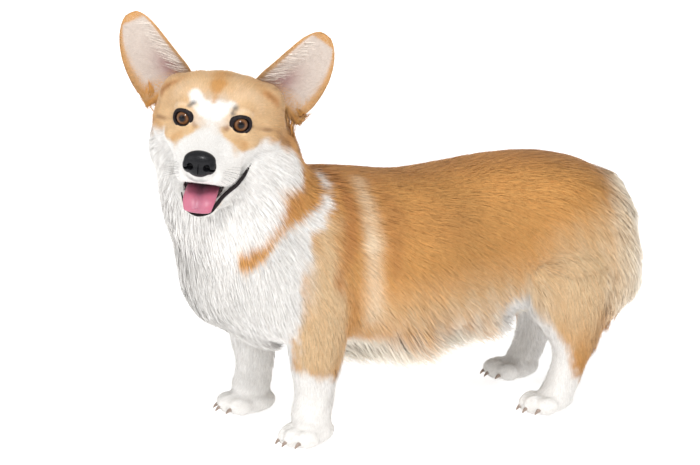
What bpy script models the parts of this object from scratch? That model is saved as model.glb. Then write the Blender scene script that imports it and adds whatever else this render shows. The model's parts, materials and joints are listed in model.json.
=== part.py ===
"""A standing Pembroke Welsh Corgi at life size, with its head turned to its left and its mouth open.

The dog faces -Y, its left side is +X and the floor is z = 0. Lengths are in metres, except in the
tables marked mm. The trunk, legs and head are blocked out with lofts and ellipsoids, fused, smoothed
and thinned, and then parted with thin cuts into the named parts.
"""

import math
import random

import bmesh
import bpy
from mathutils import Euler, Matrix, Vector
from mathutils.bvhtree import BVHTree

MM = 0.001
GAP = 0.0003
SEED = 11

# Driving dimensions
WITHERS = 0.268
EYE_RADIUS = 10.6 * MM
LID_RADIUS = 12.4 * MM

# Where the head is: the point midway between the eyes, and how the head is turned, nodded and tilted
EYE_MIDPOINT = Vector((0.0584, -0.2321, 0.335))
HEAD_YAW, HEAD_NOD, HEAD_TILT = math.radians(59.5), math.radians(2), math.radians(5.5)
HEAD = (
    Matrix.Translation(EYE_MIDPOINT)
    @ Matrix.Rotation(HEAD_YAW, 4, "Z")
    @ Matrix.Rotation(HEAD_NOD, 4, "X")
    @ Matrix.Rotation(HEAD_TILT, 4, "Y")
)

# Paw centres on the floor: x, y and the outward turn of the toes in degrees
PAWS = {
    "front_left": (0.058, -0.134, 12),
    "front_right": (-0.062, -0.150, -10),
    "hind_left": (0.062, 0.134, 6),
    "hind_right": (-0.058, 0.156, -6),
}

# The trunk from the breastbone to the rump: y, top, bottom and half width
TRUNK = (
    (-0.205, 0.232, 0.118, 0.050),
    (-0.175, 0.258, 0.098, 0.070),
    (-0.130, WITHERS, 0.090, 0.079),
    (-0.075, 0.266, 0.091, 0.081),
    (-0.015, 0.257, 0.093, 0.080),
    (0.040, 0.259, 0.097, 0.078),
    (0.100, 0.264, 0.106, 0.077),
    (0.155, 0.262, 0.116, 0.076),
    (0.202, 0.246, 0.128, 0.068),
    (0.230, 0.222, 0.146, 0.050),
)

# The neck from between the shoulders to the back of the skull: x, y, z, half width, half depth
NECK = (
    (0.000, -0.152, 0.170, 0.069, 0.068),
    (0.000, -0.174, 0.215, 0.072, 0.070),
    (-0.001, -0.187, 0.250, 0.073, 0.070),
    (0.001, -0.193, 0.285, 0.070, 0.068),
    (0.009, -0.197, 0.320, 0.058, 0.058),
)

# The bobbed tail from its root to its tip: x, y, z, half width, half depth
TAIL = (
    (0.000, 0.206, 0.230, 0.0150, 0.0120),
    (0.000, 0.226, 0.226, 0.0140, 0.0115),
    (0.000, 0.242, 0.212, 0.0120, 0.0100),
    (0.000, 0.250, 0.198, 0.0085, 0.0075),
)


def new_object(name, mesh):
    """An object for this mesh, in the scene's own collection."""
    obj = bpy.data.objects.new(name, mesh)
    bpy.context.scene.collection.objects.link(obj)
    return obj


def remove(obj):
    """Takes an object and its mesh out of the file."""
    mesh = obj.data
    bpy.data.objects.remove(obj)
    bpy.data.meshes.remove(mesh)


def mesh_of(work, name):
    """A mesh from a bmesh, which is freed."""
    bmesh.ops.recalc_face_normals(work, faces=work.faces)
    if work.calc_volume(signed=True) < 0:
        bmesh.ops.reverse_faces(work, faces=work.faces)
    mesh = bpy.data.meshes.new(name)
    work.to_mesh(mesh)
    work.free()
    return mesh


def catmull(rows, steps):
    """Rows of numbers with steps - 1 smooth rows added between each two."""
    out = []
    last = len(rows) - 1
    for i in range(last):
        a, b, c, d = rows[max(i - 1, 0)], rows[i], rows[i + 1], rows[min(i + 2, last)]
        for k in range(steps):
            t = k / steps
            row = []
            for p, q, r, s in zip(a, b, c, d):
                bend = (2 * p - 5 * q + 4 * r - s) * t * t + (3 * q - p - 3 * r + s) * t**3
                row.append(0.5 * (2 * q + (r - p) * t + bend))
            out.append(tuple(row))
    out.append(tuple(rows[-1]))
    return out


def loft(stations, steps=4, sides=24, power=2.2, cap=0.7):
    """A closed tube with round ends through stations of x, y, z, half width (along X) and half depth."""
    rows = catmull(stations, steps)
    points = [Vector(row[:3]) for row in rows]
    last = len(rows) - 1
    tangents = [(points[min(i + 1, last)] - points[max(i - 1, 0)]).normalized() for i in range(last + 1)]
    rings = []
    for i, row in enumerate(rows):
        ends = []
        if i in (0, last):
            outward = tangents[i] if i == last else -tangents[i]
            reach = cap * min(row[3], row[4])
            for angle in (math.radians(30), math.radians(58), math.radians(80)):
                ends.append((points[i] + outward * reach * math.sin(angle), math.cos(angle)))
        body = [(points[i], 1.0)]
        order = list(reversed(ends)) + body if i == 0 else body + ends
        rings += [(centre, tangents[i], row[3] * scale, row[4] * scale) for centre, scale in order]
    work = bmesh.new()
    made = []
    for centre, tangent, half_width, half_depth in rings:
        across = Vector((1, 0, 0))
        across = (across - across.dot(tangent) * tangent).normalized()
        up = across.cross(tangent)
        ring = []
        for k in range(sides):
            angle = 2 * math.pi * k / sides
            c, s = math.cos(angle), math.sin(angle)
            r = (abs(c) ** power + abs(s) ** power) ** (-1 / power)
            ring.append(work.verts.new(centre + across * half_width * c * r + up * half_depth * s * r))
        made.append(ring)
    for first, second in zip(made, made[1:]):
        for k in range(sides):
            work.faces.new((first[k], first[(k + 1) % sides], second[(k + 1) % sides], second[k]))
    work.faces.new(made[0])
    work.faces.new(made[-1])
    return mesh_of(work, "loft")


def ellipsoid(centre, radii, turn=(0, 0, 0), fineness=3):
    """A closed ellipsoid, turned by three angles in degrees."""
    work = bmesh.new()
    bmesh.ops.create_icosphere(work, subdivisions=fineness, radius=1)
    turned = Euler([math.radians(a) for a in turn]).to_matrix().to_4x4()
    work.transform(Matrix.Translation(centre) @ turned @ Matrix.Diagonal((*radii, 1)))
    return mesh_of(work, "ellipsoid")


def joined(name, meshes, placed=Matrix.Identity(4)):
    """One object holding several overlapping meshes."""
    work = bmesh.new()
    for mesh in meshes:
        work.from_mesh(mesh)
        bpy.data.meshes.remove(mesh)
    work.transform(placed)
    mesh = bpy.data.meshes.new(name)
    work.to_mesh(mesh)
    work.free()
    return new_object(name, mesh)


def settle(obj):
    """Applies the modifiers of an object."""
    bpy.context.view_layer.update()
    graph = bpy.context.evaluated_depsgraph_get()
    mesh = bpy.data.meshes.new_from_object(obj.evaluated_get(graph))
    old = obj.data
    obj.modifiers.clear()
    obj.data = mesh
    bpy.data.meshes.remove(old)
    return obj


def fuse(obj, voxel, smoothing):
    """Fuses overlapping shapes into one skin of that voxel size, and smooths it."""
    remesh = obj.modifiers.new("fuse", "REMESH")
    remesh.mode = "VOXEL"
    remesh.voxel_size = voxel
    smooth = obj.modifiers.new("smooth", "SMOOTH")
    smooth.factor = 0.5
    smooth.iterations = smoothing
    return settle(obj)


def thin_out(obj, triangles):
    """Reduces an object's mesh to about this many triangles."""
    count = sum(len(face.vertices) - 2 for face in obj.data.polygons)
    if count > triangles:
        decimate = obj.modifiers.new("thin out", "DECIMATE")
        decimate.ratio = triangles / count
        decimate.use_collapse_triangulate = True
        settle(obj)
    return obj


def boolean(obj, other, operation, solver="EXACT"):
    """Cuts or joins obj with another object, which is then removed."""
    step = obj.modifiers.new("boolean", "BOOLEAN")
    step.operation = operation
    step.solver = solver
    step.object = other
    settle(obj)
    remove(other)
    return obj


def copy_of(obj, name):
    """A copy of an object with a mesh of its own."""
    return new_object(name, obj.data.copy())


def inflated(obj, by=GAP):
    """A copy of an object grown outward by a small distance, used to cut its neighbours clear of it."""
    grown = copy_of(obj, obj.name + " clearance")
    work = bmesh.new()
    work.from_mesh(grown.data)
    work.normal_update()
    moves = [(v, v.normal * by * min(v.calc_shell_factor(), 2.0)) for v in work.verts]
    for v, move in moves:
        v.co += move
    work.to_mesh(grown.data)
    work.free()
    return grown


def largest(obj):
    """Keeps only the largest closed surface of an object."""
    work = bmesh.new()
    work.from_mesh(obj.data)
    bmesh.ops.triangulate(work, faces=work.faces)
    left = set(work.verts)
    shells = []
    while left:
        shell = {left.pop()}
        front = list(shell)
        while front:
            vert = front.pop()
            for edge in vert.link_edges:
                other = edge.other_vert(vert)
                if other not in shell:
                    shell.add(other)
                    front.append(other)
        left -= shell
        shells.append(shell)

    def volume(shell):
        faces = {face for vert in shell for face in vert.link_faces}
        return sum(f.verts[0].co.dot(f.verts[1].co.cross(f.verts[2].co)) for f in faces)

    keep = max(shells, key=volume)
    bmesh.ops.delete(work, geom=[v for v in work.verts if v not in keep], context="VERTS")
    work.to_mesh(obj.data)
    work.free()
    return obj


def half_space(name, point, normal, size=1.2):
    """A big box filling everything on the side of the plane that normal points to."""
    work = bmesh.new()
    bmesh.ops.create_cube(work, size=size)
    work.transform(Matrix.Translation((0, 0, size / 2)))
    turn = Vector(normal).to_track_quat("Z", "Y").to_matrix().to_4x4()
    work.transform(Matrix.Translation(point) @ turn)
    return new_object(name, mesh_of(work, name))


def on_head(points):
    """Head points in mm, as world vectors."""
    return [HEAD @ (Vector(p) * MM) for p in points]


def trunk_meshes():
    """The trunk with the masses of the shoulders and thighs."""
    stations = [
        (0.0, y, (top + bottom) / 2, half_width, (top - bottom) / 2) for y, top, bottom, half_width in TRUNK
    ]
    meshes = [loft(stations, power=2.25, cap=0.75), loft(NECK, power=2.1, cap=0.5)]
    for side in (1, -1):
        meshes.append(ellipsoid((side * 0.052, -0.135, 0.165), (0.034, 0.055, 0.068), (0, side * -8, 0)))
        meshes.append(ellipsoid((side * 0.048, 0.172, 0.158), (0.038, 0.070, 0.072), (-18, side * -6, 0)))
    return meshes


def front_leg(x, y):
    """A short, thick foreleg from the elbow to the pastern."""
    side = math.copysign(1, x)
    return loft(
        (
            (x - side * 0.001, y + 0.004, 0.150, 0.030, 0.036),
            (x + side * 0.002, y + 0.006, 0.112, 0.025, 0.031),
            (x + side * 0.001, y + 0.006, 0.078, 0.021, 0.0245),
            (x - side * 0.001, y + 0.006, 0.050, 0.0185, 0.0205),
            (x, y + 0.002, 0.026, 0.0195, 0.0215),
        ),
        power=2.1,
    )


def hind_leg(x, y):
    """A hind leg from the thigh past the hock to the foot."""
    side = math.copysign(1, x)
    return loft(
        (
            (x + side * 0.002, y + 0.020, 0.150, 0.034, 0.052),
            (x + side * 0.001, y + 0.022, 0.112, 0.027, 0.042),
            (x, y + 0.026, 0.082, 0.021, 0.029),
            (x, y + 0.024, 0.056, 0.0175, 0.0195),
            (x, y + 0.015, 0.030, 0.0175, 0.0180),
            (x, y + 0.006, 0.017, 0.018, 0.016),
        ),
        power=2.1,
    )


# Toes in mm from the paw's centre: across, along (forward is negative), height, and radii
TOES = (
    (-15.0, -12.0, 10.5, 8.2, 14.0, 10.5),
    (-5.6, -20.0, 11.5, 8.4, 15.0, 11.5),
    (5.6, -20.0, 11.5, 8.4, 15.0, 11.5),
    (15.0, -12.0, 10.5, 8.2, 14.0, 10.5),
)


def paw_matrix(name):
    """The place of a paw on the floor, with its toes turned out."""
    x, y, turn = PAWS[name]
    return Matrix.Translation((x, y, 0)) @ Matrix.Rotation(math.radians(turn), 4, "Z")


def paw_meshes(name):
    """The toes, the instep and the heel pad of one paw."""
    meshes = [ellipsoid((0, 6 * MM, 13 * MM), (19.5 * MM, 23 * MM, 14 * MM))]
    meshes.append(ellipsoid((0, 1 * MM, 6 * MM), (18 * MM, 20 * MM, 7.5 * MM)))
    for across, along, height, rx, ry, rz in TOES:
        centre = (across * MM, along * MM, height * MM)
        meshes.append(ellipsoid(centre, (rx * MM, ry * MM, rz * MM), (-8, 0, across * -0.9)))
    place = paw_matrix(name)
    for mesh in meshes:
        mesh.transform(place)
    return meshes


def flesh():
    """Trunk, neck, legs and paws as one smooth skin."""
    trunk = fuse(joined("trunk", trunk_meshes()), 0.004, 40)
    limbs = []
    for name, (x, y, _) in PAWS.items():
        limbs.append(front_leg(x, y) if name.startswith("front") else hind_leg(x, y))
        limbs += paw_meshes(name)
    whole = joined("flesh", [trunk.data.copy(), *limbs])
    remove(trunk)
    return fuse(whole, 0.0022, 9)


# The head blocked out in mm from the point midway between the eyes: centre, radii and turn in degrees.
# Those with two sides stand at +x and -x.
HEAD_MIDDLE = (
    ((0, 52, -4), (51, 54, 42), (0, 0, 0)),
    ((0, 18, 3), (31, 27, 22), (0, 0, 0)),
    ((0, -2, -12), (17, 26, 14), (12, 0, 0)),
    ((0, 66, -34), (52, 38, 46), (0, 0, 0)),
)
HEAD_PAIRS = (
    ((22, 44, -2), (32, 44, 40), (0, 0, 0)),
    ((38, 52, 2), (24, 32, 30), (0, 20, 0)),
    ((40, 46, -14), (26, 36, 30), (0, 0, 0)),
    ((24, 10, 8), (16, 15, 9), (0, -14, 0)),
    ((31, 10, -19), (17, 19, 13), (0, 0, 0)),
    ((12.5, -36, -39.5), (11.0, 19, 13), (0, 0, 6)),
    ((21.5, -20, -45.0), (8.5, 25, 12.5), (0, 0, -19)),
    ((42, 60, -38), (27, 31, 38), (0, 0, 0)),
)
# The muzzle from the cheeks to the nose: x, y, z, half width, half depth in mm
MUZZLE = (
    (0, 28, -20, 47, 27.0),
    (0, 12, -22, 44, 26.0),
    (0, -4, -25.5, 39, 24.0),
    (0, -20, -30, 31.5, 22.0),
    (0, -35, -33.5, 23.5, 20.0),
    (0, -47, -33.0, 18.5, 16.5),
)
# The lower jaw from the throat to the chin, in mm
JAW = (
    (0, 38, -60, 36, 22),
    (0, 14, -57, 37, 18),
    (0, -4, -63, 33.5, 15.5),
    (0, -20, -68.5, 26.5, 12.5),
    (0, -33, -73.5, 18.5, 9.5),
    (0, -40, -77, 14.5, 7.5),
)
# The tongue from the back of the mouth to its tip hanging over the lip, in mm
TONGUE = (
    (0, 2, -52, 15, 5.0),
    (0, -16, -56.5, 15, 4.5),
    (0, -34, -61.5, 14.5, 3.6),
    (0, -45, -66.5, 13.5, 3.2),
    (0, -50.5, -74.5, 11.8, 2.8),
)
MOUTH_HOLLOW = ((0, -24, -58.0), (17.5, 34, 11), (14, 0, 0))
EYE_SPOT = (25.6, 4.6, 0.0)
EYE_TURN = 20


def scaled(stations):
    """Stations in mm as metres."""
    return [tuple(value * MM for value in row) for row in stations]


def mm_ellipsoid(centre, radii, turn=(0, 0, 0), fineness=3):
    """An ellipsoid given in mm."""
    return ellipsoid([c * MM for c in centre], [r * MM for r in radii], turn, fineness)


def both_sides(centre, radii, turn=(0, 0, 0), fineness=3):
    """An ellipsoid given in mm at +x and its mirror image at -x."""
    x, y, z = centre
    ax, ay, az = turn
    return [mm_ellipsoid((s * x, y, z), radii, (ax, s * ay, s * az), fineness) for s in (1, -1)]


def head_flesh():
    """The head without its lower jaw, as one smooth skin in the world."""
    meshes = [loft(scaled(MUZZLE), power=2.2, cap=0.75)]
    for centre, radii, turn in HEAD_MIDDLE:
        meshes.append(mm_ellipsoid(centre, radii, turn))
    for centre, radii, turn in HEAD_PAIRS:
        meshes += both_sides(centre, radii, turn)
    core = fuse(joined("head core", meshes), 0.0022, 22)
    lids = both_sides(EYE_SPOT, [LID_RADIUS / MM] * 3, fineness=4)
    pad = mm_ellipsoid((0, -51, -35), (16.0, 11, 13))
    head = joined("head", [core.data.copy(), *lids, pad], HEAD)
    remove(core)
    neck = loft(NECK, power=2.1, cap=0.5)
    head = joined("head flesh", [head.data, neck])
    return fuse(head, 0.0012, 9)


def almond(side):
    """A cutter for the opening between the lids of one eye, 17 mm wide and highest towards the nose."""
    half_width, above, below, reach = 8.8, 7.3, 7.0, 26.0
    points = []
    count = 11
    for k in range(count):
        t = -1 + 2 * k / (count - 1)
        points.append((t * half_width, above * (1 - abs(t) ** 2.2) ** 0.8 + 0.9 * t))
    for k in range(1, count - 1):
        t = 1 - 2 * k / (count - 1)
        points.append((t * half_width, -below * (1 - abs(t) ** 2.2) ** 0.8 + 0.9 * t))
    work = bmesh.new()
    face = work.faces.new([work.verts.new((x * side * MM, 0, z * MM)) for x, z in points])
    grown = bmesh.ops.extrude_face_region(work, geom=[face])
    moved = [item for item in grown["geom"] if isinstance(item, bmesh.types.BMVert)]
    bmesh.ops.translate(work, verts=moved, vec=(0, -reach * MM, 0))
    x, y, z = EYE_SPOT
    work.transform(
        HEAD
        @ Matrix.Translation((side * x * MM, y * MM, z * MM))
        @ Matrix.Rotation(math.radians(side * EYE_TURN), 4, "Z")
    )
    return new_object("lid opening", mesh_of(work, "lid opening"))


def eyeball(side):
    """One eye: a ball with the cornea standing out a little."""
    x, y, z = EYE_SPOT
    work = bmesh.new()
    bmesh.ops.create_uvsphere(work, u_segments=14, v_segments=8, radius=EYE_RADIUS)
    work.transform(Matrix.Rotation(math.radians(90), 4, "X"))
    for vert in work.verts:
        off_axis = math.hypot(vert.co.x, vert.co.z)
        if vert.co.y < 0 and off_axis < 6.2 * MM:
            vert.co.y -= 0.5 * MM * (1 - (off_axis / (6.2 * MM)) ** 2)
    work.transform(
        HEAD
        @ Matrix.Translation((side * x * MM, y * MM, z * MM))
        @ Matrix.Rotation(math.radians(side * EYE_TURN), 4, "Z")
    )
    return new_object("eye_left" if side > 0 else "eye_right", mesh_of(work, "eye"))


def nose_piece():
    """The nose leather, with a nostril on each side and the groove between them."""
    meshes = [
        mm_ellipsoid((0, -57.5, -24.0), (15.2, 9.0, 9.5)),
        mm_ellipsoid((0, -58.5, -31.0), (11.5, 7.5, 8.5)),
    ]
    meshes += both_sides((9.0, -58.0, -28.5), (7.0, 7.2, 8.0))
    nose = fuse(joined("nose", meshes, HEAD), 0.0008, 8)
    thin_out(nose, 260)
    for side in (1, -1):
        wing = [
            mm_ellipsoid((side * 7.8, -65.0, -28.8), (3.2, 6.0, 3.5), (0, side * 20, 0), 2),
            mm_ellipsoid((side * 12.4, -62.5, -30.8), (4.6, 4.5, 1.5), (0, side * 20, side * -25), 2),
        ]
        cutter = fuse(joined("nostril", wing, HEAD), 0.0007, 2)
        boolean(nose, thin_out(cutter, 60), "DIFFERENCE")
    groove = joined("groove", [mm_ellipsoid((0, -68.0, -33.0), (0.9, 4.0, 9.0), (0, 0, 0), 2)], HEAD)
    boolean(nose, groove, "DIFFERENCE")
    return largest(nose)


# One ear in mm in the head's frame: the middle of its base, its tip, its widths from base to tip,
# and how deep its cup is there
EAR_BASE = Vector((55.0, 55.0, 16.0))
EAR_TIP = Vector((95.0, 53.0, 84.0))
EAR_ACROSS = Vector((0.52, 0.12, -0.84))
EAR_WIDTHS = (
    (0.0, 60),
    (0.15, 61),
    (0.35, 57),
    (0.52, 52),
    (0.68, 45),
    (0.80, 37.5),
    (0.90, 28),
    (0.96, 19),
    (1.0, 9),
)
EAR_CUP = ((0.0, 19), (0.2, 17), (0.45, 12), (0.7, 7), (1.0, 1.5))


def between(table, t):
    """The value at t in a table of pairs, in straight steps between its rows."""
    for (a, u), (b, v) in zip(table, table[1:]):
        if t <= b:
            k = (t - a) / (b - a)
            return u + (v - u) * k
    return table[-1][1]


def ear(side):
    """One upright ear: a rounded leaf cupped forward, thick at the base and thin at the rim."""
    rows, columns = 10, 7
    axis = (EAR_TIP - EAR_BASE).normalized()
    across = (EAR_ACROSS - EAR_ACROSS.dot(axis) * axis).normalized()
    back = axis.cross(across).normalized()
    if back.y < 0:
        back = -back
    length = (EAR_TIP - EAR_BASE).length
    work = bmesh.new()
    inner, outer = [], []
    for i in range(rows + 1):
        t = -0.16 + 1.16 * (i / rows) ** 0.85
        width = between(EAR_WIDTHS, max(t, 0)) / 2
        cup = between(EAR_CUP, max(t, 0))
        middle = EAR_BASE + axis * length * t + across * 4.0 * math.sin(math.pi * max(t, 0))
        front_row, back_row = [], []
        for j in range(columns + 1):
            s = -1 + 2 * j / columns
            bow = 1 - abs(s) ** 2.1
            point = middle + across * width * s * (1 - 0.06 * bow) + back * cup * bow
            rim = 0.55 + 2.6 * (1 - s * s) ** 0.5 * (1 - 0.45 * max(t, 0))
            slant = (back - across * s * 0.9 * cup / max(width, 1)).normalized()
            front_row.append(work.verts.new(point - slant * rim * 0.5))
            back_row.append(work.verts.new(point + slant * rim * 0.5))
        inner.append(front_row)
        outer.append(back_row)
    for grid in (inner, outer):
        for lower, upper in zip(grid, grid[1:]):
            for j in range(columns):
                work.faces.new((lower[j], lower[j + 1], upper[j + 1], upper[j]))
    for i in range(rows):
        for j in (0, columns):
            work.faces.new((inner[i][j], inner[i + 1][j], outer[i + 1][j], outer[i][j]))
    for i in (0, rows):
        for j in range(columns):
            work.faces.new((inner[i][j], inner[i][j + 1], outer[i][j + 1], outer[i][j]))
    bmesh.ops.triangulate(work, faces=work.faces)
    work.transform(Matrix.Scale(MM, 4))
    if side < 0:
        work.transform(Matrix.Scale(-1, 4, (1, 0, 0)))
    work.transform(HEAD)
    return new_object("ear_left" if side > 0 else "ear_right", mesh_of(work, "ear"))


def claw(place, across, along, height, size=1.0):
    """One short, curved, tapering claw out of the front of a toe, clear of the floor."""
    work = bmesh.new()
    rings = []
    sides = 5
    for k in range(3):
        t = k / 2
        centre = Vector((across, along - (3 + 6.5 * t) * size, height - 4.5 * t * t * size))
        radius = (2.3 - 1.6 * t) * size
        ring = []
        for j in range(sides):
            angle = 2 * math.pi * j / sides
            spoke = Vector((math.cos(angle) * 0.8, 0, math.sin(angle)))
            ring.append(work.verts.new((centre + spoke * radius) * MM))
        rings.append(ring)
    for first, second in zip(rings, rings[1:]):
        for j in range(sides):
            work.faces.new((first[j], first[(j + 1) % sides], second[(j + 1) % sides], second[j]))
    work.faces.new(rings[0])
    work.faces.new(rings[-1])
    bmesh.ops.triangulate(work, faces=work.faces)
    work.transform(place)
    return mesh_of(work, "claw")


def claws(name):
    """The four claws of one paw."""
    place = paw_matrix(name)
    return [
        new_object("claw", claw(place, across * 1.02, along - ry + 5.5, height - 2.0))
        for across, along, height, _, ry, _ in TOES
    ]


def lock(tree, root, lie, length, width, lift, sweep=0.0):
    """A flat, tapered lock that leaves the coat at root, follows the skin along lie and lifts to its tip."""
    position, normal, _, _ = tree.find_nearest(root)
    steps = 3
    heading = lie.normalized()
    centres, frames = [], []
    for k in range(steps + 2):
        t = k / (steps + 1)
        near, normal, _, _ = tree.find_nearest(position)
        heading = (heading - heading.dot(normal) * normal * 0.8).normalized()
        side = normal.cross(heading).normalized()
        heading = (heading + side * sweep / (steps + 1)).normalized()
        centres.append(near + normal * (-0.0022 + lift * t**0.8 + 0.0008))
        frames.append((side, normal))
        position = near + heading * length / (steps + 1)
    work = bmesh.new()
    rings = []
    for k in range(steps + 1):
        t = k / (steps + 1)
        spread = width / 2 * (0.70 + 1.3 * t) * (1 - t) ** 0.7
        thick = 0.0028 * (1 - t) ** 0.6 + 0.0006
        side, normal = frames[k]
        centre = centres[k]
        across, up = side * spread, normal * thick
        ring = [centre + across, centre + up, centre - across, centre - up * 0.8]
        rings.append([work.verts.new(p) for p in ring])
    tip = work.verts.new(centres[-1])
    for first, second in zip(rings, rings[1:]):
        for j in range(4):
            work.faces.new((first[j], first[(j + 1) % 4], second[(j + 1) % 4], second[j]))
    for j in range(4):
        work.faces.new((rings[-1][j], rings[-1][(j + 1) % 4], tip))
    work.faces.new(rings[0])
    bmesh.ops.triangulate(work, faces=work.faces)
    return new_object("lock", mesh_of(work, "lock"))


def aimed(tree, origin, direction):
    """Where a ray from inside the body leaves it."""
    spot = tree.ray_cast(Vector(origin) + Vector(direction) * 0.4, -Vector(direction))[0]
    return spot or Vector(origin)


def chest_locks(tree, draw):
    """The bib: rows of locks round the front of the neck and chest, lying down and back."""
    locks = []
    rows = 5
    for i in range(rows):
        z = 0.256 - 0.138 * i / (rows - 1)
        columns = 7 if i < rows - 1 else 4
        span = 84 if i < rows - 1 else 42
        for j in range(columns):
            step = 2 * span * (j + 0.5 * (i % 2)) / (columns - 0.5)
            angle = math.radians(-span + step + draw.uniform(-3, 3))
            out = Vector((math.sin(angle), -math.cos(angle), 0.0))
            root = aimed(tree, (0, -0.145, z + draw.uniform(-0.004, 0.004)), out)
            lie = Vector((out.x * 0.2, 0.25 + 0.55 * abs(math.sin(angle)), -1.0))
            length = draw.uniform(0.062, 0.074)
            lift = draw.uniform(0.008, 0.012)
            locks.append(lock(tree, root, lie, length, 0.034, lift, draw.uniform(-0.25, 0.25)))
    return locks


def belly_locks(tree, draw):
    """The fringe below the barrel, hanging down and back."""
    locks = []
    rows = 5
    for i in range(rows):
        y = -0.068 + 0.146 * i / (rows - 1)
        for j, tilt in enumerate((-48, -16, 16, 48)):
            angle = math.radians(tilt + draw.uniform(-5, 5))
            out = Vector((math.sin(angle), 0.0, -math.cos(angle)))
            root = aimed(tree, (0, y + 0.010 * (j % 2), 0.165), out)
            lie = Vector((-out.x * 0.5, 1.0, -0.9))
            lift = 0.023 if abs(tilt) < 40 else 0.013
            length = draw.uniform(0.052, 0.062)
            locks.append(lock(tree, root, lie, length, 0.036, lift, draw.uniform(-0.2, 0.2)))
    return locks


def breeches_locks(tree, draw):
    """The longer coat down the back of the rump and thighs."""
    locks = []
    rows = 4
    for side in (1, -1):
        for i in range(rows):
            z = 0.224 - 0.100 * i / (rows - 1)
            for j in range(3):
                angle = math.radians(4 + 32 * (j + 0.5 * (i % 2)) + draw.uniform(-3, 3))
                out = Vector((side * math.sin(angle), math.cos(angle), 0.0))
                root = aimed(tree, (side * 0.030, 0.170, z), out)
                lie = Vector((side * 0.08, 0.28, -1.0))
                length = draw.uniform(0.052, 0.062)
                sweep = side * draw.uniform(-0.2, 0.2)
                locks.append(lock(tree, root, lie, length, 0.030, draw.uniform(0.010, 0.014), sweep))
    return locks


def cheek_locks(tree, draw):
    """The ruff behind the jaw on both sides of the head, combed back and down."""
    locks = []
    for side in (1, -1):
        for i in range(2):
            for j in range(3):
                spot = Vector((side * (60 + 4 * j), 32 + 18 * j + 4 * i, -14 - 26 * i)) * MM
                lie = HEAD.to_3x3() @ Vector((side * 0.15, 0.45, -1.0 - 0.2 * i))
                length = draw.uniform(0.040, 0.048)
                locks.append(lock(tree, HEAD @ spot, lie, length, 0.026, 0.004, side * 0.1))
    return locks


def fuse_locks(obj, locks):
    """Joins locks or claws to the part they grow from."""
    group = bpy.data.collections.new("growing")
    bpy.context.scene.collection.children.link(group)
    for piece in locks:
        group.objects.link(piece)
        bpy.context.scene.collection.objects.unlink(piece)
    step = obj.modifiers.new("grow", "BOOLEAN")
    step.operation = "UNION"
    step.solver = SOLVER
    step.operand_type = "COLLECTION"
    step.collection = group
    settle(obj)
    for piece in locks:
        remove(piece)
    bpy.data.collections.remove(group)
    return largest(obj)


def prism(name, outline, near, far, grow=0.0):
    """A block with an outline of x, z points, reaching from y = near to y = far, grown by a distance."""
    turned = outline if signed_area(outline) > 0 else outline[::-1]
    count = len(turned)
    lines = []
    for (x0, z0), (x1, z1) in zip(turned, turned[1:] + turned[:1]):
        normal = Vector((z1 - z0, x0 - x1)).normalized()
        lines.append((normal, normal.dot((x0, z0)) + grow))
    corners = []
    for k in range(count):
        (n0, d0), (n1, d1) = lines[k - 1], lines[k]
        across = n0.x * n1.y - n0.y * n1.x
        corners.append(((d0 * n1.y - d1 * n0.y) / across, (n0.x * d1 - n1.x * d0) / across))
    work = bmesh.new()
    face = work.faces.new([work.verts.new((x, near - grow, z)) for x, z in corners])
    grown = bmesh.ops.extrude_face_region(work, geom=[face])
    moved = [item for item in grown["geom"] if isinstance(item, bmesh.types.BMVert)]
    bmesh.ops.translate(work, verts=moved, vec=(0, far - near + 2 * grow, 0))
    return new_object(name, mesh_of(work, name))


def signed_area(outline):
    """Twice the area of an outline of x, z points, positive where it runs counterclockwise."""
    return sum(x0 * z1 - x1 * z0 for (x0, z0), (x1, z1) in zip(outline, outline[1:] + outline[:1]))


# Where the limbs part from the trunk: outlines of x, z for the left side, and their reach along y
FRONT_CUT = ([(0.014, -0.02), (0.014, 0.084), (0.13, 0.158), (0.13, -0.02)], -0.222, -0.066)
HIND_CUT = ([(0.012, -0.02), (0.012, 0.104), (0.13, 0.212), (0.13, -0.02)], 0.092, 0.32)
WRIST, HOCK = 0.030, 0.040
HEAD_SEAM = (Vector((0.0, -0.190, 0.262)), Vector((0.20, -0.15, 0.97)).normalized())
NECK_SEAM = (Vector((0.0, -0.160, 0.205)), Vector((0.05, -0.62, 0.78)).normalized())
SOLVER = "EXACT"


def limb(coat, name, cut, parting):
    """A leg and its paw, cut from the coated body."""
    outline, near, far = cut
    if name.endswith("right"):
        outline = [(-x, z) for x, z in outline]
    whole = boolean(copy_of(coat, name), prism("cutter", outline, near, far), "INTERSECT")
    whole = largest(whole)
    paw = copy_of(whole, name.replace("front_", "front_paw_").replace("hind_", "hind_paw_"))
    leg = boolean(whole, half_space("cutter", (0, 0, parting + GAP / 2), (0, 0, 1)), "INTERSECT")
    leg.name = name.replace("front_", "front_leg_").replace("hind_", "hind_leg_")
    boolean(paw, half_space("cutter", (0, 0, parting - GAP / 2), (0, 0, -1)), "INTERSECT")
    return largest(leg), largest(paw)


# Colour and roughness of each material
MATERIALS = {
    "tan_coat": ((0.56, 0.27, 0.10), 0.85),
    "white_coat": ((0.82, 0.78, 0.72), 0.85),
    "ear_coat": ((0.60, 0.32, 0.16), 0.80),
    "nose_leather": ((0.015, 0.014, 0.016), 0.45),
    "tongue": ((0.62, 0.20, 0.24), 0.40),
    "eye": ((0.06, 0.025, 0.012), 0.08),
}


def material_of(name):
    """The material that a sub-part wears."""
    if name.startswith("ear"):
        return "ear_coat"
    if name.startswith("eye"):
        return "eye"
    if name == "nose":
        return "nose_leather"
    if name == "tongue":
        return "tongue"
    if "paw" in name or name in ("jaw", "front_leg_right"):
        return "white_coat"
    return "tan_coat"


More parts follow.
